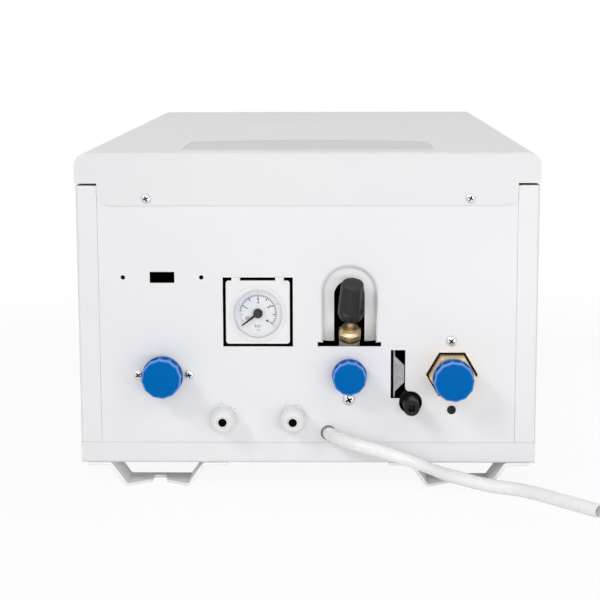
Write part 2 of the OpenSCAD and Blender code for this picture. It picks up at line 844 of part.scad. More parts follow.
module fill_clamp() {
  w = 2 * (fill_r + port_flange_w);
  low = port_z - fill_screw_down - clamp_margin;
  high = port_z + fill_r + clamp_margin;
  color("silver") at_face() difference() {
    translate([fill_x, 0, (low + high) / 2]) upright(sheet, clamp_y)
      round_rect(w, high - low, clamp_margin);
    bar(fill_x, port_z, fill_r + stub_clearance, 0, clamp_y + 1);
    bar(fill_x, port_z - fill_screw_down, screw_hole_r, 0, clamp_y + 1);
  }
}

// pushed-on cap: a skirt with twelve shallow flutes, a closed front with a bevelled edge
// and a round rim at its back
module pipe_cap(x, r, stub_r, reach) {
  flat_r = r * cos(180 / cap_sides);
  color([0, 0.4, 0.72]) at_face() translate([x, -reach, port_z]) rotate([-90, cap_turn, 0])
    difference() {
      union() {
        translate([0, 0, cap_l - cap_rim_t]) cylinder(r = r + cap_rim_out, h = cap_rim_t);
        difference() {
          union() {
            cylinder(r1 = r - cap_bevel, r2 = r, h = cap_bevel, $fn = cap_sides);
            translate([0, 0, cap_bevel]) cylinder(r = r, h = cap_l - cap_bevel - 1, $fn = cap_sides);
          }
          for (k = [0:cap_sides - 1]) rotate([0, 0, (k + 0.5) * 360 / cap_sides])
            translate([flat_r + cap_flute_r - cap_flute_d, 0, -1])
              cylinder(r = cap_flute_r, h = cap_l);
        }
      }
      translate([0, 0, cap_wall]) cylinder(r = stub_r + cap_fit, h = cap_l);
    }
}

module flow_cap() { pipe_cap(-port_x, cap_r, port_r, flow_cap_l); }
module return_cap() { pipe_cap(port_x, cap_r, port_r, return_cap_l); }
module fill_cap() { pipe_cap(fill_x, fill_cap_r, fill_r, fill_cap_l); }

// ---- cable glands ----

// stands a gland's pieces at its hole, with their axis towards the front of the underside
// and turned as it was tightened
module at_gland(side) {
  turn = side < 0 ? left_gland_turn : right_gland_turn;
  at_face() translate([gauge_x + side * gland_pitch / 2, 0, gland_z]) rotate([90, -turn, 0])
    children();
}

// body of a gland: thread, hexagon, neck and the nose that grips the cable
module gland(side) {
  color("white", 0.8) at_gland(side) difference() {
    union() {
      translate([0, 0, -thread_l]) cylinder(r = thread_r, h = thread_l + 1);
      rotate([0, 0, 30]) cylinder(r = gland_af / sqrt(3), h = gland_hex_t, $fn = 6);
      cylinder(r = gland_neck_r, h = gland_hex_t + gland_neck_l);
      cylinder(r = gland_nose_r, h = gland_l);
    }
    translate([0, 0, -thread_l - 1]) cylinder(r = gland_bore_r, h = thread_l + gland_l + 2);
  }
}

// domed nut of a gland, ribbed round its side and notched round the nose
module gland_dome(side) {
  top = gland_l - gland_hex_t;
  hollow = gland_neck_l + stub_clearance;
  nose_r = gland_nose_r + stub_clearance;
  neck_r = gland_neck_r + stub_clearance;
  color("white", 0.8) at_gland(side) translate([0, 0, gland_hex_t]) difference() {
    rotate_extrude() polygon([[nose_r, top], [nose_r, hollow],
      [neck_r, hollow], [neck_r, 0], [dome_r, 0], [dome_r, top - 8], [dome_r - 0.5, top - 5.4],
      [dome_r - 1.8, top - 2.9], [dome_r - 3.4, top - 1], [dome_r - 4.8, top]]);
    for (k = [0:gland_claws - 1]) rotate([0, 0, k * 360 / gland_claws])
      translate([gland_nose_r - 1, -claw_gap / 2, top - 1]) cube([1 + claw_d, claw_gap, 2]);
    for (k = [0:dome_ribs - 1]) rotate([0, 0, k * 360 / dome_ribs])
      translate([dome_r + dome_rib_r / 2, 0, -1]) cylinder(r = dome_rib_r, h = top - 6);
  }
}

module gland_nut(side) {
  color("white", 0.8) at_gland(side) translate([0, 0, -sheet - gland_hex_t]) difference() {
    rotate([0, 0, 30]) cylinder(r = gland_af / sqrt(3), h = gland_hex_t, $fn = 6);
    translate([0, 0, -1]) cylinder(r = thread_r + running, h = gland_hex_t + 2);
  }
}

module left_gland() { gland(-1); }
module right_gland() { gland(1); }
module left_gland_dome() { gland_dome(-1); }
module right_gland_dome() { gland_dome(1); }
module left_gland_nut() { gland_nut(-1); }
module right_gland_nut() { gland_nut(1); }

// ---- drain ----

module drain_body() {
  color([0.1, 0.1, 0.1]) at_face() difference() {
    bar(drain_x, drain_z, drain_hole_r - 1, spindle_seat_y, board_y);
    bar(drain_x, drain_z, shank_r + running, spindle_seat_y - 1, spindle_seat_y + shank_l + 1);
  }
}

module drain_spindle() {
  color([0.15, 0.15, 0.16]) at_face() translate([drain_x, 0, drain_z]) difference() {
    union() {
      rotate([90, 0, 0]) rotate_extrude() polygon([[0, 0.3 - spindle_seat_y],
        [spindle_r, 0.3 - spindle_seat_y], [spindle_r, spindle_l - spindle_bevel],
        [spindle_r - spindle_bevel, spindle_l], [0, spindle_l]]);
      bar(0, 0, shank_r, 0, spindle_seat_y + shank_l);
    }
    translate([0, -spindle_l, 0]) cube([socket_w, 2 * socket_d, socket_w], center = true);
  }
}

// folded plate beside the drain cock, whose tab shows in the slot
module drain_bracket() {
  x = slot_left_x + 2.6;
  top = slot_top_z + 4;
  foot = drain_z + 4;
  tab_w = drain_slot_w - 3.2;
  low = foot + 4;
  high = top - 9;
  color("silver") at_face() {
    translate([x, plate_y, foot]) cube([plate_t, board_y - plate_y, top - foot]);
    upright(plate_y, plate_y + plate_t)
      polygon([[x, low], [x + tab_w, low + tab_w], [x + tab_w, high - tab_w], [x, high]]);
  }
}

module blanking_plug() {
  color([0.1, 0.1, 0.1]) at_face() {
    bar(port_x, plug_z, plug_r - running, -plug_head, sheet);
    bar(port_x, plug_z, plug_pin_r, 0, clamp_y);
  }
}

module hose_nozzle() {
  color("gray") at_face()
    bar(HOSE_ROUTE[0][0], HOSE_ROUTE[0][2], hose_d / 2 - 1, HOSE_ROUTE[0][1] + nozzle_gap, board_y);
}

// tube swept along the route of the hose
module drain_hose() {
  n = len(HOSE_ROUTE) - 1;
  sides = hose_sides;
  ahead = [for (i = [0:n]) i == 0 ? [0, -1, 0] : unit(HOSE_ROUTE[min(i + 1, n)] - HOSE_ROUTE[i - 1])];
  points = [for (i = [0:n], k = [0:sides - 1])
    let (side = unit(cross(ahead[i], [0, 0, 1])), up = cross(side, ahead[i]), a = 360 * k / sides)
    HOSE_ROUTE[i] + hose_d / 2 * (cos(a) * side + sin(a) * up)];
  faces = concat([[for (k = [0:sides - 1]) k]], [[for (k = [sides - 1:-1:0]) n * sides + k]],
    [for (i = [0:n - 1], k = [0:sides - 1]) let (j = (k + 1) % sides)
      [i * sides + k, (i + 1) * sides + k, (i + 1) * sides + j, i * sides + j]]);
  color("white", 0.5) at_face() polyhedron(points, faces);
}

back_panel();
left_side_panel();
right_side_panel();
bottom_panel_upper();
bottom_panel_middle();
bottom_panel_lower();
valve_recess();
top_panel();
front_cover();
control_panel();
inner_board();
bracket_lower_left();
bracket_lower_right();
bracket_upper_left();
bracket_upper_right();
gauge_housing();
gauge_dial();
gauge_pointer();
gauge_lens();
valve_body();
valve_bonnet();
valve_stem();
valve_knob();
flow_fitting();
flow_clamp();
flow_cap();
return_fitting();
return_clamp();
return_cap();
fill_clamp();
fill_cap();
left_gland();
right_gland();
left_gland_dome();
right_gland_dome();
left_gland_nut();
right_gland_nut();
drain_body();
drain_spindle();
drain_bracket();
blanking_plug();
hose_nozzle();
drain_hose();
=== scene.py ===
# %% [markdown]
# # A wall-hung electric boiler, dressed for its picture
# The boiler lies on its back and shows the end that points down when it hangs on a wall.
# Its exact solids come packed from the CAD model. This script keeps those that already have
# the right shape, gives each a finish, and adds what is too fine for the solids, such as
# screw heads and the print of the dial.

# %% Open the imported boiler
import math

import bmesh
import bpy
from mathutils import Matrix, Vector


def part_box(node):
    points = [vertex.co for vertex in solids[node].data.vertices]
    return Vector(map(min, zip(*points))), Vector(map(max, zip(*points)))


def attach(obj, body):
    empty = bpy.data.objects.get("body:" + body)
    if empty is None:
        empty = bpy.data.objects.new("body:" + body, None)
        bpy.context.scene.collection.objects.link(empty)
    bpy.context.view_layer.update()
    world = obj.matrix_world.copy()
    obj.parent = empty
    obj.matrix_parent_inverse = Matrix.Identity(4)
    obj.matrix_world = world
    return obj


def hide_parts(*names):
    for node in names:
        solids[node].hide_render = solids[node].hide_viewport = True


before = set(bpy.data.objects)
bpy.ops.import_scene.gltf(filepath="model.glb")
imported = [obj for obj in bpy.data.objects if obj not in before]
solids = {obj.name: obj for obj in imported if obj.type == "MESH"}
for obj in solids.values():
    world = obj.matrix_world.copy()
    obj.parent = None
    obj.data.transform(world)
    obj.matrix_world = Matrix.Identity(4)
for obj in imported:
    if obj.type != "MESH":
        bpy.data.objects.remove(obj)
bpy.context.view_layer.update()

# %% [markdown]
# The solids are in metres and share one origin: X to the right, Y away from the underside,
# Z up. Most work below is on the underside, so its outer face is measured first. Sizes of
# small things are written in millimetres.

# %% Measure the underside
mm = 0.001
face_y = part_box("bottom_panel_middle")[0].y
print("outer face at y =", round(face_y, 5))

# %% [markdown]
# The camera is placed before anything is finished, because the hose has to lie inside its
# view. It stands low in front of the underside and looks slightly down on the boiler, with
# a long lens, so that the sides run back only a little. A camera can be aimed with a Track To
# constraint. Here its matrix is built from three angles, which keeps the small tilt exact.

# %% Place the camera
lens_length = 99.46
camera_place = (0.02646, face_y - 1.4535, 0.40687)
camera_turn, camera_down, camera_tilt = (math.radians(angle) for angle in (-1.297, 9.214, -0.199))


def put_in_scene(name, data):
    thing = bpy.data.objects.new(name, data)
    bpy.context.scene.collection.objects.link(thing)
    return thing


def camera_matrix(place, turn, down, tilt):
    level = math.cos(down)
    ahead = Vector((math.sin(turn) * level, math.cos(turn) * level, -math.sin(down)))
    right = Vector((math.cos(turn), -math.sin(turn), 0))
    above = right.cross(ahead)
    side = right * math.cos(tilt) + above * math.sin(tilt)
    top = above * math.cos(tilt) - right * math.sin(tilt)
    axes = Matrix((side, top, -ahead)).transposed().to_4x4()
    return Matrix.Translation(place) @ axes


camera_data = bpy.data.cameras.new("long_lens")
camera_data.lens = lens_length
camera = put_in_scene("camera", camera_data)
camera.matrix_world = camera_matrix(camera_place, camera_turn, camera_down, camera_tilt)
bpy.context.scene.camera = camera
print("camera at", [round(v, 3) for v in camera.location])

# %% [markdown]
# Several pieces below are made as plain meshes in code. One helper turns a bmesh into an
# object, smooths its faces, and keeps an edge sharp where the faces meet at a steep angle. A
# second one lays a skin over rings of points, which is how anything round, swept or pressed is
# made here. The others keep what modifiers have made.

# %% Make a piece from a mesh
def piece_from(shape, name, sharp=30):
    bmesh.ops.recalc_face_normals(shape, faces=shape.faces)
    mesh = bpy.data.meshes.new(name)
    shape.to_mesh(mesh)
    shape.free()
    mesh.shade_smooth()
    mesh.set_sharp_from_angle(angle=math.radians(sharp))
    return put_in_scene(name, mesh)


def skin_rings(shape, rings, closed=False, wrap=True, capped=False):
    """Joins rings of points with faces, each ring to the next, and may cap both ends."""
    rows = [[shape.verts.new(point) for point in ring] for ring in rings]
    pairs = list(zip(rows, rows[1:])) + ([(rows[-1], rows[0])] if closed else [])
    for near, far in pairs:
        for k in range(len(near) if wrap else len(near) - 1):
            n = (k + 1) % len(near)
            shape.faces.new((near[k], near[n], far[n], far[k]))
    if capped:
        shape.faces.new(rows[0][::-1])
        shape.faces.new(rows[-1])


def finished_mesh(thing):
    """The mesh of an object with its modifiers, or of written letters."""
    graph = bpy.context.evaluated_depsgraph_get()
    return bpy.data.meshes.new_from_object(thing.evaluated_get(graph))


def applied(piece, sharp):
    """Turns the piece's modifiers into plain mesh."""
    bpy.context.view_layer.update()
    mesh = finished_mesh(piece)
    piece.modifiers.clear()
    mesh.set_sharp_from_angle(angle=math.radians(sharp))
    piece.data = mesh
    return piece


# %% [markdown]
# The drain hose is a soft clear tube, pushed over a nozzle inside the casing. It comes out
# through a round hole, bends to the right and lies down on the floor, where it is cut off.
# It could be a curve with a round bevel, but a tube is hollow and shows its wall at the
# cut end, and this one is a little flattened where it bends. So rings are swept along the
# route, outside and then back inside, with the wall between them.

# %% Sweep the hose
hose_radius, hose_wall = 6 * mm, 1.1 * mm
hose_route = [Vector((x * mm, y * mm + face_y, z * mm)) for x, y, z in (
    (16.8, 16, 50), (17.2, 8, 50), (18.8, -0.3, 50), (21.8, -8.8, 49.9), (27, -18.2, 49.5),
    (35, -27.5, 48.7), (46, -35.8, 47.4), (59.9, -41.6, 45.1), (75.6, -43.8, 41.1),
    (92.1, -41.4, 34.8), (107.5, -34.2, 26.6), (123.2, -24, 18.3), (139.7, -18.5, 12.2),
    (154.7, -18, 8.2), (169.9, -21.2, 6), (186.1, -29, 6), (202.2, -43.1, 6),
    (218, -60.7, 6), (233, -78.2, 6), (247.9, -95.6, 6))]
flattened_at, flattened_reach, flattened_by = hose_route[10], 16 * mm, 0.16


def smooth_line(points, steps):
    """A rounded line through all the points."""
    line = []
    ends = [2 * points[0] - points[1]] + points + [2 * points[-1] - points[-2]]
    for a, b, c, d in zip(ends, ends[1:], ends[2:], ends[3:]):
        for k in range(steps):
            t = k / steps
            line.append(0.5 * (2 * b + (c - a) * t + (2 * a - 5 * b + 4 * c - d) * t ** 2
                               + (3 * b - a - 3 * c + d) * t ** 3))
    return line + [points[-1]]


def hose_ring(line, k, radius, sides=32):
    """A ring square to the line, lower and wider where the hose is flattened."""
    ahead = (line[min(k + 1, len(line) - 1)] - line[max(k - 1, 0)]).normalized()
    side = ahead.cross(Vector((0, 0, 1))).normalized()
    above = side.cross(ahead)
    squeeze = flattened_by * math.exp(-((line[k] - flattened_at).length / flattened_reach) ** 2)
    wide, tall = radius * (1 + squeeze / 2), radius * (1 - squeeze)
    angles = [2 * math.pi * n / sides for n in range(sides)]
    ring = [line[k] + wide * math.cos(a) * side + tall * math.sin(a) * above for a in angles]
    return [Vector((p.x, p.y, max(p.z, 0.0))) for p in ring]


def drain_hose():
    line = smooth_line(hose_route, 5)
    last = len(line) - 1
    outside = [hose_ring(line, k, hose_radius) for k in range(last + 1)]
    inside = [hose_ring(line, k, hose_radius - hose_wall) for k in range(last, -1, -1)]
    shape = bmesh.new()
    skin_rings(shape, outside + inside, closed=True)
    return piece_from(shape, "clear_drain_hose", sharp=50)


hose = drain_hose()
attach(hose, "boiler")
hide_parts("drain_hose")

# %% [markdown]
# ## Finishes
# Every finish below is procedural: it is computed from a place on the piece, with no picture.
# Effects that several finishes share are shader node groups, built once. One helper makes an
# empty group with named sockets. The others write, in one short line each, what would take
# several in the node editor: a node with its links, a sum, a change of range, a mix of colours.

# %% Build the tools for shader groups
def new_group(name, inputs, outputs):
    tree = bpy.data.node_groups.new(name, "ShaderNodeTree")
    for label, kind, value in inputs:
        socket = tree.interface.new_socket(label, in_out="INPUT", socket_type="NodeSocket" + kind)
        socket.default_value = value
    for label, kind in outputs:
        tree.interface.new_socket(label, in_out="OUTPUT", socket_type="NodeSocket" + kind)
    return tree, tree.nodes.new("NodeGroupInput"), tree.nodes.new("NodeGroupOutput")


def add(tree, kind, **settings):
    """Adds a node. A setting that is a socket is linked, and any other value is set."""
    node = tree.nodes.new("ShaderNode" + kind)
    for label, value in settings.pop("options", {}).items():
        setattr(node, label, value)
    for label, value in settings.items():
        socket = node.inputs[int(label[1:]) if label[1:].isdigit() else label.replace("_", " ")]
        if isinstance(value, bpy.types.NodeSocket):
            tree.links.new(value, socket)
        else:
            socket.default_value = value
    return node


def maths(tree, operation, a, b=0.0):
    return add(tree, "Math", options={"operation": operation}, i0=a, i1=b).outputs[0]


def stretch(tree, value, low, high, new_low=0.0, new_high=1.0):
    """Maps the range from low to high onto a new one, and goes no further at its ends."""
    return add(tree, "MapRange", Value=value, From_Min=low, From_Max=high,
               To_Min=new_low, To_Max=new_high).outputs[0]


def blended(tree, share, first, second):
    """A colour that goes from the first to the second as the share goes from 0 to 1."""
    return add(tree, "Mix", options={"data_type": "RGBA"},
               Factor=share, i6=first, i7=second).outputs[2]


def spot_on_piece(tree):
    return add(tree, "TexCoord").outputs["Object"]


def part_of(tree, vector, axis):
    return add(tree, "SeparateXYZ", Vector=vector).outputs[axis]


# %% [markdown]
# Powder paint melts into a skin that is never quite flat: it has the fine waves of an orange
# peel. The same waves, smaller, show on moulded plastic. Two layers of noise give the height,
# and one broad layer gives the faint unevenness of tone that large white sheets have.

# %% Group: sprayed skin
def sprayed_skin():
    tree, given, made = new_group(
        "Sprayed skin",
        [("Wave size", "Float", 0.002), ("Depth", "Float", 0.5),
         ("Colour", "Color", (0.8, 0.8, 0.8, 1)),
         ("Shade", "Color", (0.75, 0.75, 0.75, 1))],
        [("Height", "Float"), ("Colour", "Color"), ("Roughness", "Float")])
    place = spot_on_piece(tree)
    often = maths(tree, "DIVIDE", 1.0, given.outputs["Wave size"])
    closer = maths(tree, "MULTIPLY", often, 6.0)
    peel = add(tree, "TexNoise", Vector=place, Scale=often, Detail=2.0).outputs[0]
    grain = add(tree, "TexNoise", Vector=place, Scale=closer, Detail=1.0).outputs[0]
    both = maths(tree, "ADD", maths(tree, "MULTIPLY", peel, 0.8),
                 maths(tree, "MULTIPLY", grain, 0.2))
    tree.links.new(maths(tree, "MULTIPLY", both, given.outputs["Depth"]), made.inputs["Height"])
    broad = add(tree, "TexNoise", Vector=place, Scale=7.0, Detail=2.0).outputs[0]
    tone = blended(tree, stretch(tree, broad, 0.35, 0.65),
                   given.outputs["Colour"], given.outputs["Shade"])
    tree.links.new(tone, made.inputs["Colour"])
    tree.links.new(stretch(tree, peel, 0.3, 0.7, 0.34, 0.44), made.inputs["Roughness"])
    return tree


skin = sprayed_skin()
print("group:", skin.name)

# %% [markdown]
# No sheet or casting has a perfectly sharp edge. Rounding every edge of a solid with a
# modifier would change its mesh, so the rounding is done in the shader: a Bevel node bends
# the normals close to an edge, and where they differ from the true face, there is an edge. The
# dot product of the two normals is 1 where they are alike, and falls as they part.

# %% Group: soft edges
def along(tree, vector, direction):
    """How far a vector reaches along a direction, which is their dot product."""
    return add(tree, "VectorMath", options={"operation": "DOT_PRODUCT"},
               i0=vector, i1=direction).outputs["Value"]


def soft_edges():
    tree, given, made = new_group(
        "Soft edges", [("Radius", "Float", 0.0005)],
        [("Normal", "Vector"), ("Edge", "Float")])
    rounded = add(tree, "Bevel", options={"samples": 6}, Radius=given.outputs["Radius"]).outputs[0]
    flat = add(tree, "NewGeometry").outputs["Normal"]
    alike = along(tree, rounded, flat)
    tree.links.new(rounded, made.inputs["Normal"])
    tree.links.new(stretch(tree, alike, 1.0, 0.85), made.inputs["Edge"])
    return tree


edges = soft_edges()
print("group:", edges.name)

# %% [markdown]
# Turned and milled metal keeps fine marks from the tool, and a thin film that makes some
# places duller. The marks are bands across a direction, which each material gives.

# %% Group: tool marks
def tool_marks():
    tree, given, made = new_group(
        "Tool marks",
        [("Along", "Vector", (0, 1, 0)), ("Mark size", "Float", 0.0004)],
        [("Height", "Float"), ("Film", "Float")])
    place = spot_on_piece(tree)
    often = maths(tree, "DIVIDE", along(tree, place, given.outputs["Along"]),
                  given.outputs["Mark size"])
    bands = add(tree, "TexNoise", options={"noise_dimensions": "1D"},
                W=often, Scale=1.0, Detail=2.0).outputs[0]
    film = add(tree, "TexNoise", Vector=place, Scale=260.0, Detail=3.0).outputs[0]
    tree.links.new(bands, made.inputs["Height"])
    tree.links.new(stretch(tree, film, 0.4, 0.7), made.inputs["Film"])
    return tree


marks = tool_marks()
print("group:", marks.name)

# %% [markdown]
# A finish starts as a Principled shader. The helpers add a shader, place a group in it with
# its own values, link what the group makes to the shader, and turn a height into a bump, with
# or without the rounded edges. What is the same all over a piece is set on the shader itself.

# %% Start a finish
def finish_named(name, **settings):
    material = bpy.data.materials.new(name)
    material.use_nodes = True
    shader = material.node_tree.nodes["Principled BSDF"]
    for label, value in settings.items():
        shader.inputs[label.replace("_", " ")].default_value = value
    return material, material.node_tree, shader


def place_group(tree, group, **settings):
    node = tree.nodes.new("ShaderNodeGroup")
    node.node_tree = group
    for label, value in settings.items():
        node.inputs[label.replace("_", " ")].default_value = value
    return node.outputs


def feed(tree, shader, **sockets):
    """Links each value to the shader's socket of that name."""
    for label, socket in sockets.items():
        tree.links.new(socket, shader.inputs[label.replace("_", " ")])


def bumped(tree, shader, height, depth, **settings):
    bump = add(tree, "Bump", Height=height, Distance=depth, **settings)
    feed(tree, shader, Normal=bump.outputs[0])


def relief(tree, shader, height, depth, edge_radius):
    """Bumps the faces, rounds the edges, and gives a mask of the edges."""
    rounded = place_group(tree, edges, Radius=edge_radius)
    bumped(tree, shader, height, depth, Normal=rounded["Normal"])
    return rounded["Edge"]


def dressed(material, *names):
    """Gives the material to these solids."""
    for name in names:
        for place in solids[name].material_slots:
            place.material = material
    print(material.name, "on", ", ".join(names))


# %% [markdown]
# The casing is sheet steel with white powder paint. It is hard and fairly smooth, with soft
# reflections. Along the edges its colour goes a little brighter, a painted highlight. The
# underside is one sheet that comes as three strips and a pressed recess, and a soft edge would
# draw a line where they meet, so there the paint is flat, with no painted highlight.

# %% Paint the casing
sheet_white, sheet_shade = (0.82, 0.82, 0.835, 1), (0.80, 0.80, 0.82, 1)
edge_highlight_white = (0.88, 0.88, 0.89, 1)
peel_depth = 0.05 * mm
plain_rough = (0.34, 0.44)


def powder_paint(name, colour, shade, edge_radius=0.6 * mm, rough=plain_rough, mirror=0.3):
    material, tree, shader = finish_named(name, Specular_IOR_Level=mirror)
    paint = place_group(tree, skin, Wave_size=2.2 * mm, Depth=0.35, Colour=colour, Shade=shade)
    feed(tree, shader, Roughness=stretch(tree, paint["Roughness"], *plain_rough, *rough))
    if edge_radius:
        edge = relief(tree, shader, paint["Height"], peel_depth, edge_radius)
        # Near an edge the colour turns to a painted highlight.
        feed(tree, shader, Base_Color=blended(tree, edge, paint["Colour"], edge_highlight_white))
    else:
        bumped(tree, shader, paint["Height"], peel_depth)
        feed(tree, shader, Base_Color=paint["Colour"])
    return material


cover_white = powder_paint("white_cover_paint", (0.79, 0.79, 0.80, 1), (0.775, 0.775, 0.79, 1))
dressed(cover_white, "front_cover")
casing_white = powder_paint("white_casing_paint", sheet_white, sheet_shade, 0.4 * mm)
dressed(casing_white, "back_panel", "left_side_panel", "right_side_panel", "top_panel")
underside_white = powder_paint("white_underside_paint", sheet_white, sheet_shade, 0)
dressed(underside_white, "bottom_panel_upper", "bottom_panel_middle", "bottom_panel_lower")
# The brackets' white is painted brighter than the casing's: painted light for the light from below.
lit_bracket_white = powder_paint("white_bracket_paint", (0.97, 0.97, 0.97, 1), (0.95, 0.95, 0.955, 1),
                             1 * mm)
dressed(lit_bracket_white, "bracket_lower_left", "bracket_lower_right", "bracket_upper_left",
        "bracket_upper_right")

# %% [markdown]
# Moulded plastic has a finer grain than paint and a small radius on each edge, which is
# smoother than the faces because the tool was polished there. One helper makes the hard
# plastics: the grey control panel, the gauge, the knob, the drain cock and the glands. How
# much each one mirrors is the same all over it, so it is set on the shader itself.

# %% Mould the control panel
def moulded(name, colour, shade, rough=0.4, wave=0.7 * mm, depth=0.03 * mm,
            edge_radius=0.5 * mm, **settings):
    material, tree, shader = finish_named(name, **settings)
    grain = place_group(tree, skin, Wave_size=wave, Depth=1.0, Colour=colour, Shade=shade)
    edge = relief(tree, shader, grain["Height"], depth, edge_radius)
    feed(tree, shader, Base_Color=grain["Colour"],
         Roughness=stretch(tree, edge, 0.0, 1.0, rough, rough * 0.7))
    return material


panel_grey = moulded("grey_panel_plastic", (0.68, 0.68, 0.69, 1), (0.66, 0.66, 0.67, 1), rough=0.5,
                     Specular_IOR_Level=0.3)
dressed(panel_grey, "control_panel")

# %% [markdown]
# The filling valve stands in a recess that is pressed into the underside. Sheet flows round
# the punch, so the rim and the foot of the wall are soft curves, and the floor slopes down to
# an open end. Its solid is plain. The piece that shows is a band of points that runs up the
# left side, round the arch and down the right side, in rows from the rim to the slot in the
# floor, and a Solidify modifier gives it the sheet's thickness. At the rim its paint is that
# of the sheet. Deeper in the hollow its colour is painted paler, a painted light against the
# shade there, and it is glossier, so the wall mirrors the black knob.

# %% Press the recess
sheet = 1 * mm
recess_low, recess_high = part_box("valve_recess")
recess_half = (recess_high.x - recess_low.x) / 2
recess_deep, recess_shallow = recess_high.y - face_y - sheet, 4 * mm
wall_width, press_radius, press_turn = 6.2 * mm, 3.2 * mm, 20
slot_half, slot_top = 13.7 * mm, recess_high.z - 16 * mm
wall_rows, floor_rows = 10, 4
side_points, arch_steps = 16, 48


def recess_depth(z):
    share = (z - recess_low.z) / (recess_high.z - recess_low.z)
    return recess_deep + (recess_shallow - recess_deep) * share


def arch_points(half, top, foot):
    """Points up one side, round an arch and down the other side, as (x, z)."""
    x, turn_z = (recess_low.x + recess_high.x) / 2, top - half
    side = [foot + (turn_z - foot) * k / side_points for k in range(side_points)]
    angles = [math.pi * k / arch_steps for k in range(arch_steps + 1)]
    turn = [(x - half * math.cos(a), turn_z + half * math.sin(a)) for a in angles]
    return [(x - half, z) for z in side] + turn + [(x + half, z) for z in side[::-1]]


def recess_rows():
    """Rows of points: down the curved wall first, then over the sloping floor to its slot."""
    rows = []
    for step in range(wall_rows + floor_rows):
        row = []
        down = min(max((step - 1) / 8, 0), 1)
        foot = recess_low.z + (4 - 2.7 * down) * mm
        outer = arch_points(recess_half, recess_high.z, foot)
        inner = arch_points(recess_half - wall_width, recess_high.z - wall_width, foot)
        slot = arch_points(slot_half, slot_top, foot)
        for (xo, zo), (xi, zi), (xs, zs) in zip(outer, inner, slot):
            deep = recess_depth(zi)
            if step < wall_rows:
                curve = min(press_radius, 0.46 * deep)
                a = math.radians(press_turn * min(step, wall_rows - 1 - step))
                into, back = curve * math.sin(a), curve * (1 - math.cos(a))
                if step >= wall_rows / 2:
                    into, back = wall_width - into, deep - back
                share = into / wall_width
                row.append((xo + (xi - xo) * share, face_y + back, zo + (zi - zo) * share))
            else:
                share = (step + 1 - wall_rows) / floor_rows
                z = zi + (zs - zi) * share
                row.append((xi + (xs - xi) * share, face_y + recess_depth(z), z))
        rows.append(row)
    return rows


def pressed_recess():
    shape = bmesh.new()
    skin_rings(shape, recess_rows(), wrap=False)
    recess = piece_from(shape, "pressed_recess")
    if recess.data.polygons[0].normal.y > 0:
        recess.data.flip_normals()
    shell = recess.modifiers.new("sheet", "SOLIDIFY")
    shell.thickness = sheet
    shell.offset = -1
    return applied(recess, 40)


def tinted(material, share, colour):
    """Lets the colour of a finish go over to another one as the share goes from 0 to 1."""
    tree = material.node_tree
    base = tree.nodes["Principled BSDF"].inputs["Base Color"]
    tree.links.new(blended(tree, share, base.links[0].from_socket, colour), base)
    return material


def recess_paint():
    paint = powder_paint("glossy_recess_paint", sheet_white, sheet_shade, 0,
                         rough=(0.2, 0.26), mirror=0.5)
    tree = paint.node_tree
    # Deeper in the hollow the colour is painted paler: painted light against the shade there.
    deep = stretch(tree, part_of(tree, spot_on_piece(tree), "Y"), face_y, face_y + 3 * mm)
    return tinted(paint, deep, (0.97, 0.97, 0.98, 1))


recess = pressed_recess()
recess.data.materials.append(recess_paint())
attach(recess, "boiler")
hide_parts("valve_recess")
print("recess", len(recess.data.polygons), "faces,", round(recess_deep / mm, 1), "mm deep")

# %% [markdown]
# Behind the openings lies a black foam board that closes the casing. Its black is a painted
# shade for the dark inside of the casing: it is matt and swallows the light, so the gaps round
# the fittings look black. The plates that clamp the fittings to the sheet are blackened steel,
# and the nozzle in the hose is black too.

# %% Blacken what lies inside
shade_black = moulded("black_foam_board", (0.004, 0.004, 0.005, 1), (0.002, 0.002, 0.003, 1),
                      rough=0.9, wave=2 * mm, depth=0.3 * mm, Specular_IOR_Level=0.05)
# The board's black is a painted shade for the casing's dark inside.
dressed(shade_black, "inner_board", "hose_nozzle")
plate_black = moulded("blackened_steel", (0.012, 0.012, 0.013, 1), (0.006, 0.006, 0.007, 1),
                      rough=0.6, wave=0.4 * mm, Specular_IOR_Level=0.15)
dressed(plate_black, "flow_clamp", "return_clamp", "fill_clamp")

# %% [markdown]
# The gauge sits in a white housing, the pointer is painted black, the drain cock is black
# plastic and the cable glands are nylon, which lets some light in and looks milky. They differ
# only in colour, gloss and edge, so each is one call of the helper. A black that mirrors a
# little more shows its form better, which is why the knob is the glossiest of the blacks.

# %% Mould the gauge, the blacks and the glands
gauge_white = moulded("white_gauge_plastic", (0.82, 0.82, 0.83, 1), (0.81, 0.81, 0.82, 1),
                      rough=0.4, Specular_IOR_Level=0.3)
dressed(gauge_white, "gauge_housing")
pointer_black = moulded("black_pointer_paint", (0.012, 0.012, 0.014, 1), (0.009, 0.009, 0.010, 1),
                        rough=0.6, wave=0.3 * mm, edge_radius=0.15 * mm, Specular_IOR_Level=0.1)
dressed(pointer_black, "gauge_pointer")
knob_black = moulded("black_knob_plastic", (0.009, 0.009, 0.011, 1), (0.007, 0.007, 0.009, 1),
                     rough=0.32, edge_radius=0.6 * mm, Specular_IOR_Level=0.38)
drain_black = moulded("black_drain_plastic", (0.008, 0.008, 0.010, 1), (0.005, 0.005, 0.006, 1),
                      rough=0.42, Specular_IOR_Level=0.2)
dressed(drain_black, "drain_spindle", "blanking_plug", "drain_body")
nylon = moulded("milky_gland_nylon", (0.83, 0.84, 0.84, 1), (0.80, 0.81, 0.81, 1),
                rough=0.4, edge_radius=0.6 * mm, Specular_IOR_Level=0.3)
dressed(nylon, "left_gland", "right_gland", "left_gland_dome", "right_gland_dome",
        "left_gland_nut", "right_gland_nut")
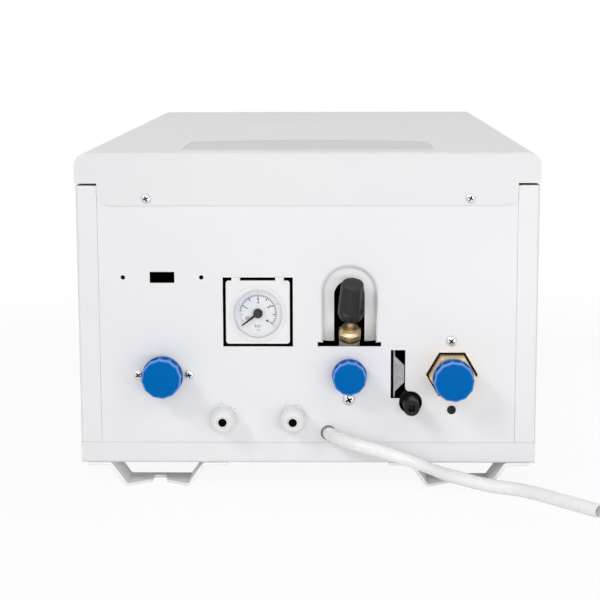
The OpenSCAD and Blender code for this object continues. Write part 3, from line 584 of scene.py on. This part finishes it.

# %% [markdown]
# The pipe ends are closed with soft blue caps for transport. A cap is a twelve-sided cup: its
# front edge is rounded, each side is hollowed a little more towards the back, and it ends in a
# round rim. It is lofted from rings, down the outside and back up the bore. Along the round
# edge the plastic is polished, which a clear coat gives. A mask finds that edge from the way
# the surface faces, gives it the coat, and paints it a paler lilac, a painted sheen.

# %% Mould the caps
cap_sides, cap_turn, cap_rim, cap_edge = 12, 9, 2.5, 2.7
points_on_side = 10
cap_points = cap_sides * points_on_side
edge_angles, body_heights = (0, 12, 24, 36, 48, 60, 75, 90), (4, 5.5, 7, 8.5, 10, 11.5)
sheen_lilac = (0.17, 0.33, 0.82, 1)


def cap_plastic():
    material, tree, shader = finish_named("blue_cap_plastic", Specular_IOR_Level=0.02,
                                          Coat_Roughness=0.25)
    grain = place_group(tree, skin, Wave_size=0.7 * mm, Depth=1.0, Colour=(0.0, 0.132, 0.44, 1),
                        Shade=(0.0, 0.122, 0.42, 1))
    facing = part_of(tree, add(tree, "NewGeometry").outputs["Normal"], "Y")
    turned_away = stretch(tree, facing, -0.97, -0.6)
    back_again = stretch(tree, facing, -0.2, 0.05, 1.0, 0.15)
    edge = maths(tree, "MULTIPLY", turned_away, back_again)
    # The edge mask paints a lilac sheen and also gives the edge a real clear coat.
    feed(tree, shader, Base_Color=blended(tree, edge, grain["Colour"], sheen_lilac),
         Coat_Weight=edge, Roughness=grain["Roughness"])
    bumped(tree, shader, grain["Height"], 0.02 * mm)
    return material


def cap_ring(radius, height):
    """One ring of the cup, as distances from its axis in millimetres."""
    hollow = 0.9 * min(max((height - 3) / 8, 0), 1)
    ring = []
    for step in range(cap_points):
        off = math.pi / cap_sides * (2 * (step % points_on_side) / points_on_side - 1)
        flat = radius * math.cos(math.pi / cap_sides) / math.cos(off)
        ring.append(flat - hollow * math.cos(off * cap_sides / 2))
    return ring


def cap_profile(radius, bore, length):
    """Rings from the rounded edge back to the rim, and on into the bore."""
    rings = []
    for a in (math.radians(angle) for angle in edge_angles):
        inset = cap_edge * (1 - math.sin(a))
        rings.append(([r - inset for r in cap_ring(radius, 0)], cap_edge * (1 - math.cos(a))))
    neck = length - cap_rim
    for height in (*body_heights, neck):
        rings.append((cap_ring(radius, height), height))
    for rim_radius, height in (
            (radius, neck), (radius + 0.3, neck + 0.3), (radius + 0.3, length - 0.3),
            (radius, length), (bore, length), (bore, 2)):
        rings.append(([rim_radius] * cap_points, height))
    return rings


def pipe_cap(name, radius, bore):
    low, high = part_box(name)
    x, z, length = (low.x + high.x) / 2, (low.z + high.z) / 2, (high.y - low.y) / mm
    turns = [2 * math.pi * (k - points_on_side / 2) / cap_points + math.radians(cap_turn)
             for k in range(cap_points)]
    shape = bmesh.new()
    skin_rings(shape, [
        [(x + r * mm * math.sin(a), low.y + height * mm, z + r * mm * math.cos(a))
         for r, a in zip(ring, turns)]
        for ring, height in cap_profile(radius, bore, length)], capped=True)
    cap = piece_from(shape, name.replace("_cap", "_pipe_cap"), sharp=35)
    cap.data.materials.append(cap_blue)
    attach(cap, "boiler")
    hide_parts(name)
    print(cap.name, len(cap.data.polygons), "faces,", round(length, 1), "mm long")


cap_blue = cap_plastic()
pipe_cap("flow_cap", 18, 13.3)
pipe_cap("return_cap", 18, 13.3)
pipe_cap("fill_cap", 15.3, 10.5)

# %% [markdown]
# The valve's knob is a slim moulded grip with four wide shallow flutes for the fingers. They
# could be cut with a Boolean, but flute and grip would meet in a sharp line. Here each point of
# a ring takes the smaller of two distances from the axis, that of the round grip and that of
# the flute, with a soft step between them, and the flutes run out before the low end.

# %% Mould the knob
valve_place = (Matrix.Translation((38.2 * mm, face_y + 10 * mm, 144.8 * mm))
               @ Matrix.Rotation(math.radians(2.5), 4, "Y")
               @ Matrix.Rotation(math.radians(26), 4, "X"))
grip_radius, grip_lift, grip_bore, grip_bore_top = 11.7, 9.5, 3.05, 19
grip_profile = [(0, 4.5), (0.4, 3.1), (1.6, 1.8), (4, 0.8), (6.5, 0.2), (9.5, 0), (14, 0.1),
                (22, 0.5), (29, 1), (35, 1.6), (37.2, 1.8), (37.8, 2.3), (38, 3)]
grip_heights = [0, 0.2, 0.4, 1, 1.6, 2.8, 4, 5, 6, 7, 7.5, 8, 8.5, 9, 9.5, 10, 10.5, 11, 12, 13, 14,
                17, 20, 23, 26, 29, 32, 34, 35.5, 36.5, 37.2, 37.5, 37.8, 38]
grip_angles = range(0, 360, 3)
flute_middles, flute_away, flute_curve = (-25, 67, 155, 247), 23.1, 13.9
flute_start, flute_blend = 13, 0.7


def grip_distance(angle, height):
    """The distance of the knob's skin from its axis, in millimetres."""
    for (low, a), (high, b) in zip(grip_profile, grip_profile[1:]):
        if low <= height <= high:
            skin_away = grip_radius - a - (b - a) * (height - low) / (high - low)
    end = max(flute_start - height, 0) * 2
    curve = flute_curve ** 2 - end ** 2
    for flute_angle in flute_middles:
        off = math.radians(angle - flute_angle)
        inside = curve - (flute_away * math.sin(off)) ** 2
        if math.cos(off) > 0 and inside > 0:
            flute = flute_away * math.cos(off) - math.sqrt(inside)
            gap = max(flute_blend - abs(flute - skin_away), 0)
            skin_away = min(flute, skin_away) - gap ** 2 / (4 * flute_blend)
    return skin_away


def on_grip(angle, distance, height):
    turn = math.radians(angle)
    return valve_place @ (Vector((distance * math.sin(turn), -distance * math.cos(turn),
                                  grip_lift + height)) * mm)


def finger_knob():
    """The knob from the top of its bore down to the low end, and up its skin to the top."""
    rings = [[on_grip(a, grip_bore, h) for a in grip_angles] for h in (grip_bore_top, 0)]
    rings += [[on_grip(a, grip_distance(a, h), h) for a in grip_angles] for h in grip_heights]
    shape = bmesh.new()
    skin_rings(shape, rings, capped=True)
    return piece_from(shape, "finger_knob", sharp=40)


knob = finger_knob()
knob.data.materials.append(knob_black)
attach(knob, "filling_valve_handle")
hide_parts("valve_knob")
print("knob", len(knob.data.polygons), "faces")

# %% [markdown]
# The dial is a printed disc, whitish with a breath of lilac. Its scale runs over a pale blue
# field round the working pressure. The field is a ring sector: the distance from the middle
# and the angle round it are computed from the place on the disc, and both are cut off softly.

# %% Print the dial's ground
def middle(name):
    low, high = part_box(name)
    return (low + high) / 2


dial_middle = middle("gauge_lens")
dial_middle.y = middle("gauge_pointer").y
field_blue, rim_shade_grey = (0.74, 0.785, 0.84, 1), (0.60, 0.59, 0.64, 1)
field_turn, field_inner, field_outer = math.radians(146), 8 * mm, 13 * mm


def dial_ground():
    material, tree, shader = finish_named("printed_dial", Specular_IOR_Level=0.2)
    grain = place_group(tree, skin, Wave_size=0.3 * mm, Depth=0.5, Colour=(0.84, 0.845, 0.865, 1),
                        Shade=(0.825, 0.83, 0.85, 1))
    from_middle = add(tree, "VectorMath", options={"operation": "SUBTRACT"}, i0=spot_on_piece(tree),
                      i1=tuple(dial_middle)).outputs["Vector"]
    x, z = part_of(tree, from_middle, "X"), part_of(tree, from_middle, "Z")
    squares = [maths(tree, "POWER", part, 2.0) for part in (x, z)]
    radius = maths(tree, "SQRT", maths(tree, "ADD", *squares))
    turn = maths(tree, "ARCTAN2", z, x)
    aside = maths(tree, "ABSOLUTE", maths(tree, "SUBTRACT", turn, field_turn))
    near = maths(tree, "SUBTRACT", 1.0, stretch(tree, aside, 0.50, 0.72))
    share = maths(tree, "MULTIPLY", near, stretch(tree, radius, field_inner, field_outer))
    field = blended(tree, share, grain["Colour"], field_blue)
    # Towards its rim the dial is painted greyer: painted shade under the bezel.
    dial_with_rim_shade = blended(tree, stretch(tree, radius, 18 * mm, 22 * mm, 0.0, 0.25), field, rim_shade_grey)
    feed(tree, shader, Base_Color=dial_with_rim_shade, Roughness=grain["Roughness"])
    bumped(tree, shader, grain["Height"], 0.02 * mm)
    return material


dressed(dial_ground(), "gauge_dial")

# %% [markdown]
# The scale is printed in ink on the dial: fine lines for each tenth, longer and thicker ones
# for each half and each whole number, and numbers that stand square to the scale. Ink has
# hardly any height, but a real surface a hair above the dial keeps its edges sharp. The lines
# are thin bars made one by one in a loop, each carried to its place by a matrix that turns with
# the reading.

# %% Cut the marks of the scale
dial_face_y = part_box("gauge_dial")[0].y
scale_start, scale_sweep, scale_bars = 52.5, 255.0, 4
ink_height = 0.05 * mm
line_outer, whole_inner, top_inner, tenth_inner = 16.8, 13.3, 11.9, 15.1


def on_dial(bar, radius):
    """A matrix that stands a mark upright on the dial at this reading and distance."""
    turn = math.radians(180 + scale_start + scale_sweep * bar / scale_bars)
    return (Matrix.Translation((dial_middle.x, dial_face_y, dial_middle.z))
            @ Matrix.Rotation(turn, 4, "Y") @ Matrix.Translation((0, 0, radius)))


def add_mark(shape, bar, inner, outer, width):
    box = bmesh.ops.create_cube(shape, size=1)["verts"]
    size = Matrix.Diagonal((width, ink_height, outer - inner, 1))
    lift = Matrix.Translation((0, -ink_height / 2, 0))
    bmesh.ops.transform(shape, matrix=on_dial(bar, (inner + outer) / 2) @ lift @ size, verts=box)


def scale_lines(name, tenths):
    shape = bmesh.new()
    for tenth in tenths:
        thick = tenth % 5 == 0
        inner = top_inner if tenth == 20 else whole_inner if thick else tenth_inner
        add_mark(shape, tenth / 10, inner * mm, line_outer * mm, (0.85 if thick else 0.75) * mm)
    return piece_from(shape, name)


# %% [markdown]
# A letter in Blender is a curve of its own kind. It is made flat on the floor, so it is turned
# to mesh, stood upright and carried to its place on the dial by a matrix.

# %% Print the scale
upright = Matrix.Rotation(math.radians(90), 4, "X")
number_places = ((0.2, 10.4), (0.96, 11.2), (2, 10.5), (2.93, 11.3), (4.03, 10.7))


def ink(name, colour):
    shade = tuple(0.9 * v for v in colour[:3]) + (1,)
    return moulded(name, colour, shade, rough=0.6, wave=0.2 * mm, depth=0.005 * mm,
                   edge_radius=0.02 * mm, Specular_IOR_Level=0.1)


def lettered(name, words, size, places):
    """Letters as flat pieces, each at its own matrix on the dial."""
    shape = bmesh.new()
    for word, place in zip(words, places):
        letters = bpy.data.curves.new(name, "FONT")
        letters.body = word
        letters.size = size
        letters.align_x = letters.align_y = "CENTER"
        letters.extrude = ink_height / 2
        letters.offset = size * 0.012
        writer = put_in_scene(name, letters)
        mesh = finished_mesh(writer)
        mesh.transform(place @ upright)
        shape.from_mesh(mesh)
        bpy.data.objects.remove(writer)
        bpy.data.meshes.remove(mesh)
    return piece_from(shape, name)


def printed(piece, material):
    piece.data.materials.append(material)
    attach(piece, "boiler")
    print(piece.name, len(piece.data.polygons), "faces")


def below_middle(aside, down):
    return Matrix.Translation((dial_middle.x + aside, dial_face_y, dial_middle.z - down))


black_ink = ink("black_dial_ink", (0.05, 0.05, 0.06, 1))
red_ink = ink("red_dial_ink", (0.66, 0.44, 0.45, 1))
blue_ink = ink("blue_dial_ink", (0.25, 0.29, 0.38, 1))
pale_ink = ink("pale_dial_ink", (0.42, 0.47, 0.56, 1))
numbers = range(scale_bars + 1)
printed(scale_lines("red_scale_lines", range(1, 7)), red_ink)
printed(scale_lines("scale_lines", [0, *range(7, 41)]), black_ink)
printed(lettered("scale_numbers", [str(n) for n in numbers], 5.2 * mm,
                 [on_dial(reading, radius * mm) for reading, radius in number_places]), black_ink)
printed(lettered("outer_scale_numbers", ["0.%d" % n for n in numbers if n], 1.9 * mm,
                 [on_dial(n, 18.6 * mm) for n in numbers if n]), pale_ink)
printed(lettered("unit_bar", ["bar"], 4.6 * mm, [below_middle(0, 11.6 * mm)]), blue_ink)
printed(lettered("unit_small", ["MPa"], 2.1 * mm, [below_middle(0.7 * mm, 15.4 * mm)]), pale_ink)

# %% [markdown]
# The lens is a thin clear dish. Real glass bends light, but a flat window this thin hardly
# does, and a bent view would hide the print. So it is a see-through skin: nearly nothing from
# the front, and more at a slant, where clear plastic begins to mirror. Layer Weight gives that
# slant, and Alpha takes it.

# %% Clear the lens
def window_plastic():
    material, tree, shader = finish_named("clear_gauge_lens", Roughness=0.08, IOR=1.45)
    grain = place_group(tree, skin, Wave_size=4 * mm, Depth=0.5, Colour=(0.80, 0.80, 0.82, 1),
                        Shade=(0.77, 0.77, 0.79, 1))
    slant = add(tree, "LayerWeight", Blend=0.25).outputs["Facing"]
    feed(tree, shader, Base_Color=grain["Colour"], Alpha=stretch(tree, slant, 0.0, 1.0, 0.02, 0.3))
    bumped(tree, shader, grain["Height"], 0.02 * mm)
    return material


dressed(window_plastic(), "gauge_lens")

# %% [markdown]
# The pipe ends and the filling valve's bonnet and stem are turned from brass, which mirrors the
# white room in a pale gold and is darker in the hollows. The marks of the tool run round the
# axis of each piece, so the leaning valve gets a direction of its own. The folded plate beside
# the drain cock is galvanised steel, a flat mid grey, and the screws are plated with zinc.

# %% Turn the metals
def worked_metal(name, colour, film_colour, rough, metal=1.0, axis=(0, 1, 0),
                 edge_radius=0.3 * mm, edge_highlight_colour=None):
    material, tree, shader = finish_named(name, Metallic=metal)
    mark = place_group(tree, marks, Along=axis, Mark_size=0.35 * mm)
    edge = relief(tree, shader, mark["Height"], 0.02 * mm, edge_radius)
    tint = blended(tree, mark["Film"], colour, film_colour)
    feed(tree, shader, Base_Color=blended(tree, edge, tint, edge_highlight_colour or colour),
         Roughness=stretch(tree, mark["Film"], 0.0, 1.0, rough, rough + 0.12))
    return material


brass = worked_metal("turned_brass", (0.84, 0.64, 0.36, 1), (0.62, 0.42, 0.21, 1), 0.36, metal=0.85)
dressed(brass, "flow_fitting", "return_fitting")
valve_axis = tuple(valve_place.to_3x3() @ Vector((0, 0, 1)))
# The bonnet's edges are painted pale bright gold, a painted highlight.
bonnet_brass = worked_metal("bonnet_brass", (0.74, 0.58, 0.33, 1), (0.50, 0.36, 0.19, 1), 0.36,
                            metal=0.8, axis=valve_axis, edge_radius=0.5 * mm,
                            edge_highlight_colour=(1.0, 0.93, 0.72, 1))
dressed(bonnet_brass, "valve_bonnet", "valve_stem")
zinc = worked_metal("zinc_plated_steel", (0.70, 0.70, 0.72, 1), (0.58, 0.58, 0.60, 1), 0.24)
galvanised = worked_metal("galvanised_plate", (0.28, 0.28, 0.29, 1), (0.24, 0.24, 0.25, 1), 0.42,
                          edge_radius=0.12 * mm)
dressed(galvanised, "drain_bracket")

# %% [markdown]
# The valve's body is cast, not turned, so it is duller and pinker than the bonnet; its colour
# is also painted paler, a painted light for the shade it lies in. In the corner under the
# bonnet the colour goes dark brown, a painted shade. The corner lies at one distance along the
# valve's axis, so a dot product with that axis finds it on the leaning body.

# %% Cast the valve's body
def cast_brass():
    cast = worked_metal("cast_brass", (0.86, 0.74, 0.64, 1), (0.76, 0.62, 0.52, 1), 0.5, metal=0.4)
    tree = cast.node_tree
    from_bonnet = add(tree, "VectorMath", options={"operation": "SUBTRACT"}, i0=spot_on_piece(tree),
                      i1=tuple(valve_place.translation)).outputs["Vector"]
    # A painted shade in the corner under the bonnet.
    corner_shade = stretch(tree, along(tree, from_bonnet, valve_axis), -13.5 * mm, -11.5 * mm)
    return tinted(cast, corner_shade, (0.10, 0.07, 0.045, 1))


dressed(cast_brass(), "valve_body")

# %% [markdown]
# The hose is soft clear plastic that has gone milky. Light passes into it, but nearly all of
# it comes back white, so it reads as a pale tube with soft lights along it. A clear shader
# would show every far wall of the room in it, so a pale glossy one stands for it. Close to the
# hole a mask by depth paints the tube grey, a painted shade for the dark hole and the dark
# nozzle inside the tube.

# %% Cloud the hose
def milky_plastic():
    material, tree, shader = finish_named("milky_hose_plastic", Specular_IOR_Level=0.5)
    haze = place_group(tree, skin, Wave_size=6 * mm, Depth=1.0, Colour=(0.89, 0.888, 0.89, 1),
                       Shade=(0.86, 0.858, 0.86, 1))
    depth = part_of(tree, spot_on_piece(tree), "Y")
    # Near the hole the colour turns grey: painted shade.
    shade_at_hole = stretch(tree, depth, face_y - 8 * mm, face_y - 3 * mm)
    feed(tree, shader, Base_Color=blended(tree, shade_at_hole, haze["Colour"], (0.34, 0.34, 0.36, 1)),
         Roughness=stretch(tree, haze["Roughness"], *plain_rough, 0.18, 0.3))
    bumped(tree, shader, haze["Height"], 0.05 * mm)
    return material


hose.data.materials.append(milky_plastic())
print("hose in", hose.data.materials[0].name)

# %% [markdown]
# ## Small parts
# Pan-head screws hold the cover and the clamps. Each head is a low dome with a cross-shaped
# socket. A cross could be faked with a bump, but real walls keep their edge at any size, so it
# is cut: a tapered cross is subtracted from the turned head with a Boolean modifier, which
# also gives the socket the cutter's black, a painted shade, and the result is kept as a plain
# mesh.

# %% Cut the screw heads
def turned(shape, profile, sides=40):
    """Revolves a profile of (radius, height) points round Z, closed at both ends."""
    angles = [2 * math.pi * k / sides for k in range(sides)]
    skin_rings(shape, [[(r * math.cos(a), r * math.sin(a), h) for a in angles] for r, h in profile],
               capped=True)


def cross_cutter(arm, half, depth):
    """A plus-shaped punch that narrows downwards."""
    corners = [Vector((x, y, 0)) for x, y in ((arm, half), (half, half), (half, arm))]
    outline = [Matrix.Rotation(k * math.pi / 2, 3, "Z") @ c for k in range(4) for c in corners]
    shape = bmesh.new()
    skin_rings(shape, [[p * taper + Vector((0, 0, h)) for p in outline]
                       for taper, h in ((1.0, 0.5 * depth), (0.6, -depth))], capped=True)
    return piece_from(shape, "cutter")


def screw_head(name, x, z, diameter, turn, lift):
    radius = diameter * mm / 2
    height = 0.62 * radius
    dome = [(radius * math.cos(a) ** 0.75, 0.28 * height + 0.72 * height * math.sin(a))
            for a in (math.radians(angle) for angle in (0, 12, 25, 38, 51, 64, 76, 84))]
    shape = bmesh.new()
    turned(shape, [(radius, -0.02 * mm)] + dome)
    head = piece_from(shape, name, sharp=50)
    head.data.materials.append(zinc)
    cutter = cross_cutter(0.66 * radius, 0.17 * radius, 0.8 * height)
    # The socket takes the cutter's black, a painted shade in the socket.
    cutter.data.materials.append(shade_black)
    cutter.location.z = height
    cut = head.modifiers.new("cross", "BOOLEAN")
    cut.object = cutter
    cut.solver = "EXACT"
    cut.material_mode = "TRANSFER"
    applied(head, 40)
    bpy.data.objects.remove(cutter)
    head.data.transform(Matrix.Translation((x * mm, face_y - lift, z * mm)) @ upright
                        @ Matrix.Rotation(math.radians(turn), 4, "Z"))
    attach(head, "boiler")
    print(head.name, len(head.data.polygons), "faces")


tongue_lift = face_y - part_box("front_cover")[0].y
for name, x, z, diameter, turn, lift in (
        ("cover_screw_left", -141.9, 261.7, 8.8, 20, tongue_lift),
        ("cover_screw_right", 143.5, 261.7, 8.8, 65, tongue_lift),
        ("flow_screw_left", -151.7, 103, 8.8, 40, 0),
        ("flow_screw_right", -105.9, 103, 8.8, 10, 0),
        ("fill_screw", 37.1, 80.8, 11, 30, 0),
        ("return_screw", 128.2, 134.2, 9.7, 50, 0)):
    screw_head(name, x, z, diameter, turn, lift)

# %% [markdown]
# A cable gland is tightened round its cable by a black rubber ring. With no cable in it, the
# ring shows as a black hole in the white nylon, and a black disc closes the bore behind it, a
# dark sheet with painted shade. The ring is turned from one profile: up its outside, over its
# front edge and down its mouth to the disc.

# %% Turn the gland seals
rubber = moulded("black_gland_rubber", (0.006, 0.006, 0.007, 1), (0.004, 0.004, 0.005, 1),
                 rough=0.7, wave=0.5 * mm, Specular_IOR_Level=0.1)
seal_radius, seal_wall, seal_front = 3.75 * mm, 0.35 * mm, 0.35 * mm
disc_depth, disc_thickness = 9 * mm, 1.2 * mm


def gland_seal(name, gland):
    mouth = seal_radius - seal_wall
    shape = bmesh.new()
    # The capped far end is the disc: a dark sheet with painted shade.
    turned(shape, [(seal_radius, -disc_depth - disc_thickness), (seal_radius, -seal_front),
                   (mouth, -seal_front), (mouth, -disc_depth)])
    seal = piece_from(shape, name, sharp=40)
    nose = middle(gland)
    nose.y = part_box(gland)[0].y
    seal.data.transform(Matrix.Translation(nose) @ upright)
    seal.data.materials.append(rubber)
    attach(seal, "boiler")
    print(name, len(seal.data.polygons), "faces")


gland_seal("left_gland_seal", "left_gland")
gland_seal("right_gland_seal", "right_gland")

# %% [markdown]
# ## Floor and light
# A studio picture of a white object shows it on white, with a soft shadow. More light on the
# object would bleach it, so the floor itself is seen as white, through Light Path, where the
# camera, a mirror or clear plastic looks at it. Near the boiler a part of the floor's own
# paper stays in the mix, and that part takes the shadow.

# %% Set the floor
floor_half, shadow_reach, white_from, white_in_shadow = 6, 0.5, 0.9, 0.92


def seen_directly(tree):
    """1 for rays that look at a surface, also in a mirror or through glass, else 0."""
    path = add(tree, "LightPath").outputs
    looks = maths(tree, "MAXIMUM", path["Is Camera Ray"], path["Is Glossy Ray"])
    return maths(tree, "MAXIMUM", looks, path["Is Transmission Ray"])


def studio_floor():
    material, tree, shader = finish_named("pale_floor", Roughness=0.9, Specular_IOR_Level=0.0)
    paper = place_group(tree, skin, Wave_size=3 * mm, Depth=0.2, Colour=(0.87, 0.87, 0.87, 1),
                        Shade=(0.86, 0.86, 0.86, 1))
    feed(tree, shader, Base_Color=paper["Colour"])
    white = add(tree, "Emission", Strength=1.0)
    from_boiler = add(tree, "VectorMath", options={"operation": "LENGTH"},
                      i0=spot_on_piece(tree)).outputs["Value"]
    part_white = stretch(tree, from_boiler, shadow_reach, white_from, white_in_shadow, 1.0)
    share = maths(tree, "MULTIPLY", seen_directly(tree), part_white)
    both = add(tree, "MixShader", i0=share, i1=shader.outputs[0], i2=white.outputs[0])
    tree.links.new(both.outputs[0], tree.nodes["Material Output"].inputs["Surface"])
    shape = bmesh.new()
    bmesh.ops.create_grid(shape, x_segments=8, y_segments=8, size=floor_half)
    floor = piece_from(shape, "floor")
    floor.data.materials.append(material)
    return floor


print("floor", [round(v, 2) for v in studio_floor().dimensions])

# %% [markdown]
# One large softbox stands behind the camera and gives most of the light. Two small ones high
# at the left and right are unequal and give the faint crossed shadows under the caps, a lamp
# above lights the cover, and a low one in front brings up the foot of the underside. The room
# round them is a weak white light and looks white in mirrors.

# %% Light the room
def white_room(strength):
    world = bpy.data.worlds.new("white_room")
    bpy.context.scene.world = world
    world.use_nodes = True
    tree = world.node_tree
    level = stretch(tree, seen_directly(tree), 0.0, 1.0, strength, 1.0)
    sky = tree.nodes["Background"]
    sky.inputs["Color"].default_value = (1, 1, 1, 1)
    tree.links.new(level, sky.inputs["Strength"])


def softbox(name, place, aim, width, height, power):
    lamp_data = bpy.data.lights.new(name, "AREA")
    lamp_data.shape = "RECTANGLE"
    lamp_data.size = width
    lamp_data.size_y = height
    lamp_data.energy = power
    lamp = put_in_scene(name, lamp_data)
    lamp.location = place
    lamp.rotation_euler = (Vector(aim) - Vector(place)).to_track_quat("-Z", "Y").to_euler()


white_room(0.29)
softbox("front_softbox", (0.0, -3.2, 1.0), (0, -0.3, 0.15), 2.4, 1.6, 18.4)
softbox("left_softbox", (-1.5, -1.9, 1.7), (0, -0.3, 0.15), 0.6, 0.6, 15.4)
softbox("right_softbox", (1.5, -1.9, 1.7), (0, -0.3, 0.15), 0.6, 0.6, 5.2)
softbox("top_softbox", (0.0, 0.1, 2.4), (0, 0.1, 0.3), 1.2, 1.2, 13.5)
softbox("low_softbox", (0.4, -1.3, 0.04), (0, -0.36, 0.06), 1.2, 0.4, 4.6)
bpy.context.scene.view_settings.view_transform = "Standard"
